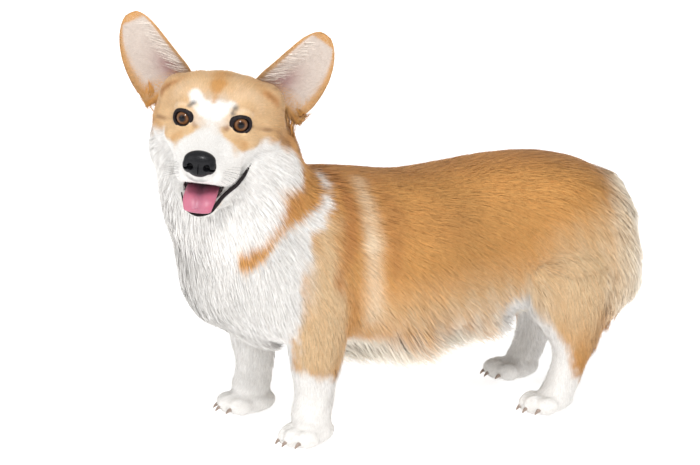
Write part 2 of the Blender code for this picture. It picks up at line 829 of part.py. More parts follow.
def dress(parts):
    """Gives each sub-part its material."""
    made = {}
    for slot, (colour, roughness) in MATERIALS.items():
        material = bpy.data.materials.new(slot)
        material.use_nodes = True
        shader = material.node_tree.nodes["Principled BSDF"]
        shader.inputs["Base Color"].default_value = (*colour, 1)
        shader.inputs["Roughness"].default_value = roughness
        shader.inputs["Metallic"].default_value = 0.0
        material.diffuse_color = (*colour, 1)
        made[slot] = material
    for part in parts:
        part.data.materials.clear()
        part.data.materials.append(made[material_of(part.name)])
        part.data.shade_smooth()
        part.data.set_sharp_from_angle(angle=math.radians(50))


def centre(parts):
    """Moves the animal so that the middle of its bounding box is over the origin."""
    points = [v.co for part in parts for v in part.data.vertices]
    middle = [(min(p[i] for p in points) + max(p[i] for p in points)) / 2 for i in (0, 1)]
    for part in parts:
        part.data.transform(Matrix.Translation((-middle[0], -middle[1], 0)))


def gather(parts):
    """Puts the sub-parts in a collection named for the animal, under one empty."""
    group = bpy.data.collections.new("pembroke_welsh_corgi")
    bpy.context.scene.collection.children.link(group)
    root = bpy.data.objects.new("corgi_root", None)
    group.objects.link(root)
    for part in parts:
        bpy.context.scene.collection.objects.unlink(part)
        group.objects.link(part)
        part.parent = root


def main():
    """Builds the whole animal."""
    for old in list(bpy.data.objects):
        bpy.data.objects.remove(old)
    draw = random.Random(SEED)
    parts = []
    body = flesh()
    body_tree = BVHTree.FromObject(body, bpy.context.evaluated_depsgraph_get())
    coat = thin_out(body, 2200)
    locks = chest_locks(body_tree, draw) + belly_locks(body_tree, draw) + breeches_locks(body_tree, draw)
    fuse_locks(coat, locks)
    boolean(coat, half_space("cutter", (0, 0, 0), (0, 0, 1)), "INTERSECT")

    neck = copy_of(coat, "neck")
    point, normal = NECK_SEAM
    boolean(neck, half_space("cutter", point + normal * GAP / 2, normal), "INTERSECT")
    boolean(coat, half_space("cutter", point - normal * GAP / 2, -normal), "INTERSECT")
    point, normal = HEAD_SEAM
    boolean(neck, half_space("cutter", point - normal * GAP / 2, -normal), "INTERSECT")
    parts.append(largest(neck))
    for name in PAWS:
        cut = FRONT_CUT if name.startswith("front") else HIND_CUT
        parts += limb(coat, name, cut, WRIST if name.startswith("front") else HOCK)
    for side in (1, -1):
        for outline, near, far in (FRONT_CUT, HIND_CUT):
            cutter = prism("cutter", [(side * x, z) for x, z in outline], near, far, GAP)
            boolean(coat, cutter, "DIFFERENCE")
    tail = joined("tail", [loft(TAIL, steps=2, sides=12, power=2.0, cap=0.9)])
    boolean(coat, inflated(tail, GAP * 1.3), "DIFFERENCE")
    coat.name = "torso"
    parts += [largest(coat), tail]

    head = head_flesh()
    head_tree = BVHTree.FromObject(head, bpy.context.evaluated_depsgraph_get())
    thin_out(head, 2000)
    fuse_locks(head, cheek_locks(head_tree, draw))
    jaw = joined("jaw", [loft(scaled(JAW), steps=1, sides=14, power=2.3, cap=0.8)], HEAD)
    boolean(head, inflated(jaw, GAP * 1.3), "DIFFERENCE")
    tongue = joined("tongue", [loft(scaled(TONGUE), steps=2, sides=10, power=2.2, cap=0.9)], HEAD)
    hollow, radii, turn = MOUTH_HOLLOW
    boolean(head, joined("cutter", [mm_ellipsoid(hollow, radii, turn, 2)], HEAD), "DIFFERENCE")
    boolean(jaw, joined("cutter", [mm_ellipsoid(hollow, radii, turn, 2)], HEAD), "DIFFERENCE")
    boolean(jaw, inflated(tongue, GAP * 1.3), "DIFFERENCE")
    boolean(head, inflated(tongue, GAP * 1.3), "DIFFERENCE")
    nose = nose_piece()
    boolean(head, inflated(nose, GAP * 1.3), "DIFFERENCE")
    for side in (1, -1):
        ball = eyeball(side)
        boolean(head, inflated(ball, GAP * 1.3), "DIFFERENCE")
        boolean(head, almond(side), "DIFFERENCE")
        parts.append(ball)
    point, normal = HEAD_SEAM
    boolean(head, half_space("cutter", point + normal * GAP / 2, normal), "INTERSECT")
    head.name = "head"
    largest(head)
    parts += [head, largest(jaw), tongue, nose]
    for side in (1, -1):
        flap = boolean(ear(side), inflated(head, GAP * 1.3), "DIFFERENCE")
        parts.append(largest(flap))
    for name in PAWS:
        paw_name = name.replace("front_", "front_paw_").replace("hind_", "hind_paw_")
        paw = next(p for p in parts if p.name == paw_name)
        fuse_locks(paw, claws(name))
    centre(parts)
    dress(parts)
    gather(parts)


if __name__ == "__main__":
    main()
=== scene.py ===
import json
import math

import bmesh
import bpy
import numpy as np
from mathutils import Euler, Matrix, Vector
from mathutils.bvhtree import BVHTree
from mathutils.kdtree import KDTree

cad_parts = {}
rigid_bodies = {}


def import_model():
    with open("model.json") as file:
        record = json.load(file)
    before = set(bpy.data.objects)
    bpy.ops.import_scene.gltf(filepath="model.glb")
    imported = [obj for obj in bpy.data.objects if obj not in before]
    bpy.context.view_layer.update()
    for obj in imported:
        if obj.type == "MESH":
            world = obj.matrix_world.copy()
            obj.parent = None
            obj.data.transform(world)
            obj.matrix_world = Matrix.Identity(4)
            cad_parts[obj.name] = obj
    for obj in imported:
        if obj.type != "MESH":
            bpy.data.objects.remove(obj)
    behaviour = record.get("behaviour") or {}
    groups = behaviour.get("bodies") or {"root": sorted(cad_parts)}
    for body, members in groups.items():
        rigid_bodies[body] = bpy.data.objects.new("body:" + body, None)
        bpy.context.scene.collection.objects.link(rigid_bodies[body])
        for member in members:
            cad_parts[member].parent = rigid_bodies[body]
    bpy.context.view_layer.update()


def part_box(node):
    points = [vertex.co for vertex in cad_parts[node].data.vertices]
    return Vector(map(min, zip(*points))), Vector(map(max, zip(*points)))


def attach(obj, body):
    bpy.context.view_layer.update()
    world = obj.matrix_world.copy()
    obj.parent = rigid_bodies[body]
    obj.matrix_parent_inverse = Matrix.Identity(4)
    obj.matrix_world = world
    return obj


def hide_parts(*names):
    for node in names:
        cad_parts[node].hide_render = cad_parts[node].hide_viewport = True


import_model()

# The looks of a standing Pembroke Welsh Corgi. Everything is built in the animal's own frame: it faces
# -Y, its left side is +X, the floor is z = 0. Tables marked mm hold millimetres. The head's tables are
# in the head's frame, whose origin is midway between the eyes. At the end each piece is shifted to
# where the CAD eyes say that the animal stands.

MM = 0.001
SEED = 20

# Where the head is: the point midway between the eyes, and how the head is turned, nodded and tilted
EYE_MIDPOINT = Vector((0.0584, -0.2321, 0.335))
HEAD = (
    Matrix.Translation(EYE_MIDPOINT)
    @ Matrix.Rotation(math.radians(59.5), 4, "Z")
    @ Matrix.Rotation(math.radians(2), 4, "X")
    @ Matrix.Rotation(math.radians(5.5), 4, "Y")
)
# The left eye in mm: its centre, its turn outward in degrees, its radius and that of the lids over it
EYE_SPOT = (25.6, 4.6, 0.0)
EYE_TURN = 20
EYE_RADIUS = 10.6
LID_RADIUS = 12.4
# The opening between the lids in mm, how much higher its outer corner is than its middle, and its depth
LID_HALF_WIDTH, LID_ABOVE, LID_BELOW = 8.8, 7.8, 7.2
LID_SLANT = 0.3
LID_CUT = 26

# The camera: what it looks at, how far it is, its azimuth and elevation, and its lens and sensor in mm
CAMERA_TARGET = Vector((-0.095, -0.021, 0.17))
CAMERA_DISTANCE = 2.625
CAMERA_AZIMUTH, CAMERA_ELEVATION = math.radians(66), math.radians(14)
CAMERA_LENS, CAMERA_SENSOR = 128.57, 36

# Paw centres on the floor: x, y and the outward turn of the toes in degrees
PAWS = {
    "front_left": (0.058, -0.134, 12),
    "front_right": (-0.062, -0.150, -10),
    "hind_left": (0.062, 0.134, 6),
    "hind_right": (-0.058, 0.156, -6),
}
# The shoulder and thigh of the left side: centre and radii in metres, and turn in degrees
HAUNCHES = (
    ((0.052, -0.135, 0.165), (0.034, 0.055, 0.068), (0, -8, 0)),
    ((0.048, 0.172, 0.158), (0.038, 0.070, 0.072), (-18, -6, 0)),
)
# The trunk from the breastbone to the rump: y, top, bottom and half width
TRUNK = (
    (-0.205, 0.232, 0.118, 0.050),
    (-0.175, 0.258, 0.098, 0.070),
    (-0.130, 0.268, 0.090, 0.079),
    (-0.075, 0.266, 0.091, 0.081),
    (-0.015, 0.257, 0.093, 0.080),
    (0.040, 0.259, 0.097, 0.078),
    (0.100, 0.264, 0.106, 0.077),
    (0.155, 0.262, 0.116, 0.076),
    (0.202, 0.246, 0.128, 0.068),
    (0.230, 0.222, 0.146, 0.050),
)
# The neck from between the shoulders to the back of the skull: x, y, z, half width, half depth
NECK = (
    (0.000, -0.152, 0.170, 0.069, 0.068),
    (0.000, -0.174, 0.215, 0.072, 0.070),
    (-0.001, -0.187, 0.250, 0.073, 0.070),
    (0.001, -0.193, 0.285, 0.070, 0.068),
    (0.009, -0.197, 0.320, 0.058, 0.058),
)
# The bobbed tail from its root to its tip: x, y, z, half width, half depth
TAIL = (
    (0.000, 0.206, 0.230, 0.0150, 0.0120),
    (0.000, 0.226, 0.226, 0.0140, 0.0115),
    (0.000, 0.242, 0.212, 0.0120, 0.0100),
    (0.000, 0.250, 0.198, 0.0085, 0.0075),
)
# Toes in mm from the paw's centre: across, along (forward is negative), height, and the three radii
TOES = (
    (-15.0, -12.0, 10.5, 8.2, 14.0, 10.5),
    (-5.6, -20.0, 11.5, 8.4, 15.0, 11.5),
    (5.6, -20.0, 11.5, 8.4, 15.0, 11.5),
    (15.0, -12.0, 10.5, 8.2, 14.0, 10.5),
)
# The head in mm: centre, radii and turn in degrees; pairs stand at +x and -x
HEAD_MIDDLE = (
    ((0, 52, -4), (51, 54, 42), (0, 0, 0)),
    ((0, 18, 3), (31, 27, 22), (0, 0, 0)),
    ((0, -2, -12), (17, 26, 14), (12, 0, 0)),
    ((0, 66, -34), (52, 38, 46), (0, 0, 0)),
)
HEAD_PAIRS = (
    ((22, 44, -2), (32, 44, 40), (0, 0, 0)),
    ((38, 52, 2), (24, 32, 30), (0, 20, 0)),
    ((40, 46, -14), (26, 36, 30), (0, 0, 0)),
    ((24, 10, 8), (16, 15, 9), (0, -14, 0)),
    ((31, 10, -19), (17, 19, 13), (0, 0, 0)),
    ((12.5, -36, -39.5), (11.0, 19, 13), (0, 0, 6)),
    ((21.5, -20, -45.0), (8.5, 25, 12.5), (0, 0, -19)),
    ((42, 60, -38), (27, 31, 38), (0, 0, 0)),
)
# The muzzle from the cheeks to the nose: x, y, z, half width, half depth in mm
MUZZLE = (
    (0, 28, -20, 47, 27.0),
    (0, 12, -22, 44, 26.0),
    (0, -4, -25.5, 39, 24.0),
    (0, -20, -30, 31.5, 22.0),
    (0, -35, -33.5, 23.5, 20.0),
    (0, -47, -33.0, 18.5, 16.5),
)
# The lower jaw from the throat to the chin, in mm
JAW = (
    (0, 38, -60, 36, 22),
    (0, 14, -57, 37, 18),
    (0, -4, -63, 33.5, 15.5),
    (0, -20, -68.5, 26.5, 12.5),
    (0, -33, -73.5, 18.5, 9.5),
    (0, -40, -77, 14.5, 7.5),
)
# The tongue from the back of the mouth to its tip hanging over the lip, in mm
TONGUE = (
    (0, 2, -52, 15, 5.0),
    (0, -16, -56.5, 15, 4.5),
    (0, -34, -61.5, 15.5, 3.6),
    (0, -45, -66.5, 15.2, 3.2),
    (0, -50.5, -74.5, 13.0, 2.8),
)
# The hollow of the mouth: centre and radii in mm, and turn in degrees
MOUTH_HOLLOW = ((0, -24, -58.0), (17.5, 34, 11), (14, 0, 0))
# The edge of the lower lip from the corner of the mouth to its middle, in mm
LOWER_LIP = (
    (39.5, 14, -37.5),
    (36.5, 10, -45),
    (33.5, 3, -51.5),
    (29.5, -9, -57),
    (24, -20, -61),
    (19.5, -29, -65),
    (15.8, -37.5, -70.5),
    (10.5, -44.5, -76.5),
    (0, -48.0, -79.5),
)
# The lip's thickness in mm from the dog's right to its left, and the point where the right lip tucks in
LIP_AT = (-20, -14, -8, 0, 8, 16, 34, 39.5)
LIP_RADIUS = (0.5, 0.9, 1.1, 1.3, 1.6, 1.9, 1.7, 0.9)
LIP_TUCKS_IN = 5
# One ear in mm: the middle of its base, its tip, the way across it, its widths and its cup's depths
EAR_BASE = Vector((55.0, 55.0, 16.0))
EAR_TIP = Vector((95.0, 53.0, 84.0))
EAR_ACROSS = Vector((0.52, 0.12, -0.84))
EAR_WIDTHS = (
    (0.0, 60),
    (0.15, 61),
    (0.35, 57),
    (0.52, 52),
    (0.68, 45),
    (0.80, 37.5),
    (0.90, 28),
    (0.96, 19),
    (1.0, 9),
)
EAR_CUP = ((0.0, 19), (0.2, 17), (0.45, 12), (0.7, 7), (1.0, 1.5))
# How far in mm the ear's middle bends sideways half way up, and how its cup rounds from side to side
EAR_BEND = 4.0
EAR_BOW = 2.1
EAR_AXIS = (EAR_TIP - EAR_BASE).normalized()
EAR_SIDEWAYS = (EAR_ACROSS - EAR_ACROSS.dot(EAR_AXIS) * EAR_AXIS).normalized()
EAR_BACK = EAR_AXIS.cross(EAR_SIDEWAYS).normalized()
if EAR_BACK.y < 0:
    EAR_BACK = -EAR_BACK


# Mesh tools

# The rings that round off the end of a loft
CAP_ANGLES = [math.radians(angle) for angle in (30, 58, 80)]

def new_object(name, mesh):
    """An object for this mesh, in the scene's own collection."""
    obj = bpy.data.objects.new(name, mesh)
    bpy.context.scene.collection.objects.link(obj)
    return obj


def remove(obj):
    """Takes an object and its mesh out of the file."""
    mesh = obj.data
    bpy.data.objects.remove(obj)
    bpy.data.meshes.remove(mesh)


def mesh_of(work, name):
    """A mesh from a bmesh, which is freed."""
    bmesh.ops.recalc_face_normals(work, faces=work.faces)
    if work.calc_volume(signed=True) < 0:
        bmesh.ops.reverse_faces(work, faces=work.faces)
    mesh = bpy.data.meshes.new(name)
    work.to_mesh(mesh)
    work.free()
    return mesh


def rows_of(items, field, width, kind=float):
    """One field of many Blender items as a numpy array with a row for each item."""
    flat = np.empty(len(items) * width, kind)
    items.foreach_get(field, flat)
    return flat.reshape(-1, width)


def bridge(work, rings, endless=False):
    """Faces between each ring of vertices and the next, and over both ends unless the tube is endless."""
    sides = len(rings[0])
    following = rings[1:] + rings[:1] if endless else rings[1:]
    for first, second in zip(rings, following):
        for k in range(sides):
            work.faces.new((first[k], first[(k + 1) % sides], second[(k + 1) % sides], second[k]))
    if not endless:
        work.faces.new(rings[0])
        work.faces.new(rings[-1])


def catmull(rows, steps):
    """Rows of numbers with steps - 1 smooth rows added between each two."""
    out = []
    last = len(rows) - 1
    for i in range(last):
        a, b, c, d = (np.array(rows[min(max(j, 0), last)], float) for j in (i - 1, i, i + 1, i + 2))
        for t in np.arange(steps) / steps:
            bend = (2 * a - 5 * b + 4 * c - d) * t * t + (3 * b - a - 3 * c + d) * t**3
            out.append(tuple(0.5 * (2 * b + (c - a) * t + bend)))
    out.append(tuple(rows[-1]))
    return out


def loft(stations, steps=4, sides=24, power=2.2, cap=0.7):
    """A closed tube with round ends through stations of x, y, z, half width (along X) and half depth.

    A power of 2 gives round sections and a higher one squarer ones; cap is how far the ends bulge.
    """
    rows = catmull(stations, steps)
    points = [Vector(row[:3]) for row in rows]
    last = len(rows) - 1
    tangents = [(points[min(i + 1, last)] - points[max(i - 1, 0)]).normalized() for i in range(last + 1)]
    rings = []
    for i, row in enumerate(rows):
        ends = []
        if i in (0, last):
            outward = tangents[i] if i == last else -tangents[i]
            reach = cap * min(row[3], row[4])
            for angle in CAP_ANGLES:
                ends.append((points[i] + outward * reach * math.sin(angle), math.cos(angle)))
        body = [(points[i], 1.0)]
        order = list(reversed(ends)) + body if i == 0 else body + ends
        rings += [(centre, tangents[i], row[3] * scale, row[4] * scale) for centre, scale in order]
    work = bmesh.new()
    made = []
    for centre, tangent, half_width, half_depth in rings:
        across = Vector((1, 0, 0))
        across = (across - across.dot(tangent) * tangent).normalized()
        up = across.cross(tangent)
        ring = []
        for k in range(sides):
            angle = 2 * math.pi * k / sides
            c, s = math.cos(angle), math.sin(angle)
            r = (abs(c) ** power + abs(s) ** power) ** (-1 / power)
            ring.append(work.verts.new(centre + across * half_width * c * r + up * half_depth * s * r))
        made.append(ring)
    bridge(work, made)
    return mesh_of(work, "loft")


def ellipsoid(centre, radii, turn=(0, 0, 0), fineness=3):
    """A closed ellipsoid, turned by three angles in degrees."""
    work = bmesh.new()
    bmesh.ops.create_icosphere(work, subdivisions=fineness, radius=1)
    turned = Euler([math.radians(a) for a in turn]).to_matrix().to_4x4()
    work.transform(Matrix.Translation(centre) @ turned @ Matrix.Diagonal((*radii, 1)))
    return mesh_of(work, "ellipsoid")


def mm_ellipsoid(centre, radii, turn=(0, 0, 0), fineness=3):
    """An ellipsoid given in mm."""
    return ellipsoid([c * MM for c in centre], [r * MM for r in radii], turn, fineness)


def both_sides(centre, radii, turn=(0, 0, 0), fineness=3):
    """An ellipsoid given in mm at +x and its mirror image at -x."""
    x, y, z = centre
    ax, ay, az = turn
    return [mm_ellipsoid((s * x, y, z), radii, (ax, s * ay, s * az), fineness) for s in (1, -1)]


def scaled(stations):
    """Stations in mm as metres."""
    return [tuple(value * MM for value in row) for row in stations]


def joined(name, meshes, placed=Matrix.Identity(4)):
    """One object holding several overlapping meshes."""
    work = bmesh.new()
    for mesh in meshes:
        work.from_mesh(mesh)
        bpy.data.meshes.remove(mesh)
    work.transform(placed)
    mesh = bpy.data.meshes.new(name)
    work.to_mesh(mesh)
    work.free()
    return new_object(name, mesh)


def settle(obj):
    """Applies the modifiers of an object."""
    bpy.context.view_layer.update()
    graph = bpy.context.evaluated_depsgraph_get()
    mesh = bpy.data.meshes.new_from_object(obj.evaluated_get(graph))
    old = obj.data
    obj.modifiers.clear()
    obj.data = mesh
    bpy.data.meshes.remove(old)
    return obj


def fuse(obj, voxel, smoothing):
    """Fuses overlapping shapes into one skin of that voxel size, and smooths it."""
    remesh = obj.modifiers.new("fuse", "REMESH")
    remesh.mode = "VOXEL"
    remesh.voxel_size = voxel
    smooth = obj.modifiers.new("smooth", "SMOOTH")
    smooth.factor = 0.5
    smooth.iterations = smoothing
    return settle(obj)


def thin_out(obj, triangles):
    """Reduces an object's mesh to about this many triangles."""
    count = sum(len(face.vertices) - 2 for face in obj.data.polygons)
    if count > triangles:
        decimate = obj.modifiers.new("thin out", "DECIMATE")
        decimate.ratio = triangles / count
        decimate.use_collapse_triangulate = True
        settle(obj)
    return obj


def boolean(obj, other, operation):
    """Cuts or joins obj with another object, which is then removed."""
    step = obj.modifiers.new("boolean", "BOOLEAN")
    step.operation = operation
    step.solver = "EXACT"
    step.object = other
    settle(obj)
    remove(other)
    return obj


def between(table, t):
    """The value at t in a table of pairs, in straight steps between its rows."""
    for (a, u), (b, v) in zip(table, table[1:]):
        if t <= b:
            return u + (v - u) * (t - a) / (b - a)
    return table[-1][1]


def tree_of(obj):
    """A search tree of an object's surface."""
    return BVHTree.FromObject(obj, bpy.context.evaluated_depsgraph_get())


def swept(points, radii, sides=8, flat=1.0, up=Vector((0, 0, 1))):
    """A closed tube through points with a radius at each, flattened along up by flat."""
    points = [Vector(p) for p in points]
    last = len(points) - 1
    work = bmesh.new()
    rings = []
    for i, point in enumerate(points):
        tangent = (points[min(i + 1, last)] - points[max(i - 1, 0)]).normalized()
        side = tangent.cross(up).normalized()
        rise = side.cross(tangent)
        ring = []
        for k in range(sides):
            angle = 2 * math.pi * k / sides
            offset = side * math.cos(angle) + rise * math.sin(angle) * flat
            ring.append(work.verts.new(point + offset * radii[i]))
        rings.append(ring)
    bridge(work, rings)
    return mesh_of(work, "tube")


# The skin

# Voxel size in metres and rounds of smoothing of what is fused, and the skin's triangles before its cuts
TRUNK_FUSED = (0.004, 40)
HEAD_FUSED = (0.0022, 22)
SKIN_FUSED = (0.0017, 5)
NOSE_FUSED = (0.0005, 8)
NOSTRIL_FUSED = (0.0005, 3)
SKIN_TRIANGLES = 130000


def paw_matrix(name):
    """The place of a paw on the floor, with its toes turned out."""
    x, y, turn = PAWS[name]
    return Matrix.Translation((x, y, 0)) @ Matrix.Rotation(math.radians(turn), 4, "Z")


def trunk_meshes():
    """The trunk with the masses of the shoulders and thighs."""
    stations = [
        (0.0, y, (top + bottom) / 2, half_width, (top - bottom) / 2) for y, top, bottom, half_width in TRUNK
    ]
    meshes = [loft(stations, power=2.25, cap=0.75), loft(NECK, power=2.1, cap=0.5)]
    for side in (1, -1):
        for (x, y, z), radii, (pitch, roll, yaw) in HAUNCHES:
            meshes.append(ellipsoid((side * x, y, z), radii, (pitch, side * roll, side * yaw)))
    return meshes


def front_leg(x, y):
    """A short, thick foreleg from the elbow to the pastern."""
    side = math.copysign(1, x)
    return loft(
        (
            (x - side * 0.001, y + 0.004, 0.150, 0.030, 0.036),
            (x + side * 0.002, y + 0.006, 0.112, 0.025, 0.031),
            (x + side * 0.001, y + 0.006, 0.078, 0.021, 0.0245),
            (x - side * 0.001, y + 0.006, 0.050, 0.0185, 0.0205),
            (x, y + 0.002, 0.026, 0.0195, 0.0215),
        ),
        power=2.1,
    )


def hind_leg(x, y):
    """A hind leg from the thigh past the hock to the foot."""
    side = math.copysign(1, x)
    return loft(
        (
            (x + side * 0.002, y + 0.020, 0.150, 0.034, 0.052),
            (x + side * 0.001, y + 0.022, 0.112, 0.027, 0.042),
            (x, y + 0.026, 0.082, 0.021, 0.029),
            (x, y + 0.024, 0.056, 0.0175, 0.0195),
            (x, y + 0.015, 0.030, 0.0175, 0.0180),
            (x, y + 0.006, 0.017, 0.018, 0.016),
        ),
        power=2.1,
    )


def paw_meshes(name):
    """The toes, the instep and the heel pad of one paw."""
    meshes = [mm_ellipsoid((0, 6, 13), (19.5, 23, 14)), mm_ellipsoid((0, 1, 6), (18, 20, 7.5))]
    for across, along, height, *radii in TOES:
        meshes.append(mm_ellipsoid((across, along, height), radii, (-8, 0, across * -0.9)))
    place = paw_matrix(name)
    for mesh in meshes:
        mesh.transform(place)
    return meshes


def body_flesh():
    """Trunk, neck, tail, legs and paws as overlapping smooth meshes."""
    trunk = fuse(joined("trunk", trunk_meshes()), *TRUNK_FUSED)
    meshes = [trunk.data.copy(), loft(TAIL, steps=2, sides=12, power=2.0, cap=0.9)]
    remove(trunk)
    for name, (x, y, _) in PAWS.items():
        meshes.append(front_leg(x, y) if name.startswith("front") else hind_leg(x, y))
        meshes += paw_meshes(name)
    return meshes


def head_flesh():
    """The head with its lids and lower jaw as overlapping smooth meshes, in place."""
    meshes = [loft(scaled(MUZZLE), power=2.2, cap=0.75)]
    for centre, radii, turn in HEAD_MIDDLE:
        meshes.append(mm_ellipsoid(centre, radii, turn))
    for centre, radii, turn in HEAD_PAIRS:
        meshes += both_sides(centre, radii, turn)
    core = fuse(joined("head core", meshes), *HEAD_FUSED)
    meshes = [core.data.copy(), mm_ellipsoid((0, -51, -35), (16.0, 11, 13))]
    remove(core)
    meshes += both_sides(EYE_SPOT, [LID_RADIUS] * 3, fineness=4)
    meshes.append(loft(scaled(JAW), steps=2, sides=24, power=2.3, cap=0.8))
    for mesh in meshes:
        mesh.transform(HEAD)
    return meshes


def eye_place(side):
    """The frame of one eye: -y looks out between the lids."""
    x, y, z = EYE_SPOT
    spot = Matrix.Translation((side * x * MM, y * MM, z * MM))
    return HEAD @ spot @ Matrix.Rotation(math.radians(side * EYE_TURN), 4, "Z")


def almond_points(side, count=40, grow=1.0):
    """The outline between the lids of one eye, in mm across and up."""
    points = []
    for k in range(count):
        angle = 2 * math.pi * k / count
        c, s = math.cos(angle), math.sin(angle)
        x = LID_HALF_WIDTH * c
        z = (LID_ABOVE if s > 0 else LID_BELOW) * abs(s) ** 0.85 * math.copysign(1, s) + LID_SLANT * c
        points.append((x * side * grow, z * grow))
    return points


def lid_cutter(side):
    """A prism that cuts the opening between the lids of one eye."""
    work = bmesh.new()
    face = work.faces.new([work.verts.new((x * MM, 0, z * MM)) for x, z in almond_points(side)])
    grown = bmesh.ops.extrude_face_region(work, geom=[face])
    moved = [item for item in grown["geom"] if isinstance(item, bmesh.types.BMVert)]
    bmesh.ops.translate(work, verts=moved, vec=(0, -LID_CUT * MM, 0))
    work.transform(eye_place(side))
    return new_object("lid opening", mesh_of(work, "lid opening"))


def ear_point(s, t):
    """A point in mm on the middle sheet of the left ear and the way behind it.

    s runs across the ear from -1 to 1 and t up it, 0 at its base and 1 at its tip.
    """
    width = between(EAR_WIDTHS, max(t, 0)) / 2
    cup = between(EAR_CUP, max(t, 0))
    middle = EAR_BASE + EAR_AXIS * (EAR_TIP - EAR_BASE).length * t
    middle = middle + EAR_SIDEWAYS * EAR_BEND * math.sin(math.pi * max(t, 0))
    bow = 1 - abs(s) ** EAR_BOW
    point = middle + EAR_SIDEWAYS * width * s * (1 - 0.06 * bow) + EAR_BACK * cup * bow
    behind = (EAR_BACK - EAR_SIDEWAYS * s * 0.9 * cup / max(width, 1)).normalized()
    return point, behind


def on_ear(points, side):
    """Where head points in mm are on an ear: height, edge, distance from its sheet, and the way behind it."""
    spot = points * (side, 1, 1) - np.array(EAR_BASE)
    height = spot @ np.array(EAR_AXIS) / (EAR_TIP - EAR_BASE).length
    half = np.interp(height, [row[0] for row in EAR_WIDTHS], [row[1] / 2 for row in EAR_WIDTHS])
    edge = (spot @ np.array(EAR_SIDEWAYS) - EAR_BEND * np.sin(math.pi * np.clip(height, 0, 1))) / half
    edge = np.clip(edge, -1.4, 1.4)
    inward = np.clip(np.abs(edge), 0, 1)
    cup = np.interp(height, [row[0] for row in EAR_CUP], [row[1] for row in EAR_CUP])
    sheet = spot @ np.array(EAR_BACK) - cup * (1 - inward**EAR_BOW)
    lean = EAR_BOW * np.sign(edge) * inward ** (EAR_BOW - 1) * cup / half
    behind = unit(np.array(EAR_BACK)[None] + np.array(EAR_SIDEWAYS)[None] * lean[:, None])
    return height, edge, sheet, behind


def ear(side):
    """The flap of one ear, a rounded leaf cupped forward, thinner than the coat over it."""
    rows, columns = 26, 20
    work = bmesh.new()
    inner, outer = [], []
    for i in range(rows + 1):
        t = -0.16 + 1.15 * (i / rows) ** 0.85
        front_row, back_row = [], []
        for j in range(columns + 1):
            s = -0.985 + 1.97 * j / columns
            point, behind = ear_point(s, t)
            rim = 0.5 + 1.9 * (1 - s * s) ** 0.5 * (1 - 0.45 * max(t, 0))
            front_row.append(work.verts.new((point - behind * rim * 0.5) * MM))
            back_row.append(work.verts.new((point + behind * rim * 0.5) * MM))
        inner.append(front_row)
        outer.append(back_row)
    for grid in (inner, outer):
        for lower, upper in zip(grid, grid[1:]):
            for j in range(columns):
                work.faces.new((lower[j], lower[j + 1], upper[j + 1], upper[j]))
    for i in range(rows):
        for j in (0, columns):
            work.faces.new((inner[i][j], inner[i + 1][j], outer[i + 1][j], outer[i][j]))
    for i in (0, rows):
        for j in range(columns):
            work.faces.new((inner[i][j], inner[i][j + 1], outer[i][j + 1], outer[i][j]))
    if side < 0:
        work.transform(Matrix.Scale(-1, 4, (1, 0, 0)))
    work.transform(HEAD)
    return new_object("ear", mesh_of(work, "ear"))


# How far in mm from an eye's centre the lids keep their surface, over what distance that fades, and
# the height in metres of the soles
LIDS_KEPT, LIDS_FADE = 12.0, 6.0
SOLE_HEIGHT = 0.0003


def sink(obj):
    """Moves an object's surface inward by the depth of the coat over it."""
    mesh = obj.data
    points, normals = vertices_of(mesh), normals_of(mesh)
    depth = GROOMING.read(points)["depth"] * MM
    head = in_head(points)
    for side in (1, -1):
        x, y, z = EYE_SPOT
        away = np.linalg.norm(head - np.array((side * x, y, z)), axis=1)
        depth *= np.clip((away - LIDS_KEPT) / LIDS_FADE, 0, 1)
    moved = points - normals * depth[:, None]
    moved[:, 2] = np.maximum(moved[:, 2], SOLE_HEIGHT)
    mesh.vertices.foreach_set("co", moved.ravel())
    mesh.update()


def in_head(points):
    """Body points in metres as head points in mm."""
    turn = np.array(HEAD.to_3x3())
    return (points - np.array(HEAD.translation)) @ turn * 1000


def from_head(points):
    """Head points in mm as body points in metres."""
    turn = np.array(HEAD.to_3x3())
    return np.asarray(points, float) @ turn.T * MM + np.array(HEAD.translation)


# The coat's chart, by region: guide points in mm with the lie of the hair, its length, width and lift in
# mm, how far it hangs free from 0 to 1, how much it gathers into points, and how deep it covers the skin
# in mm. A guide with x above 0 stands at -x too.

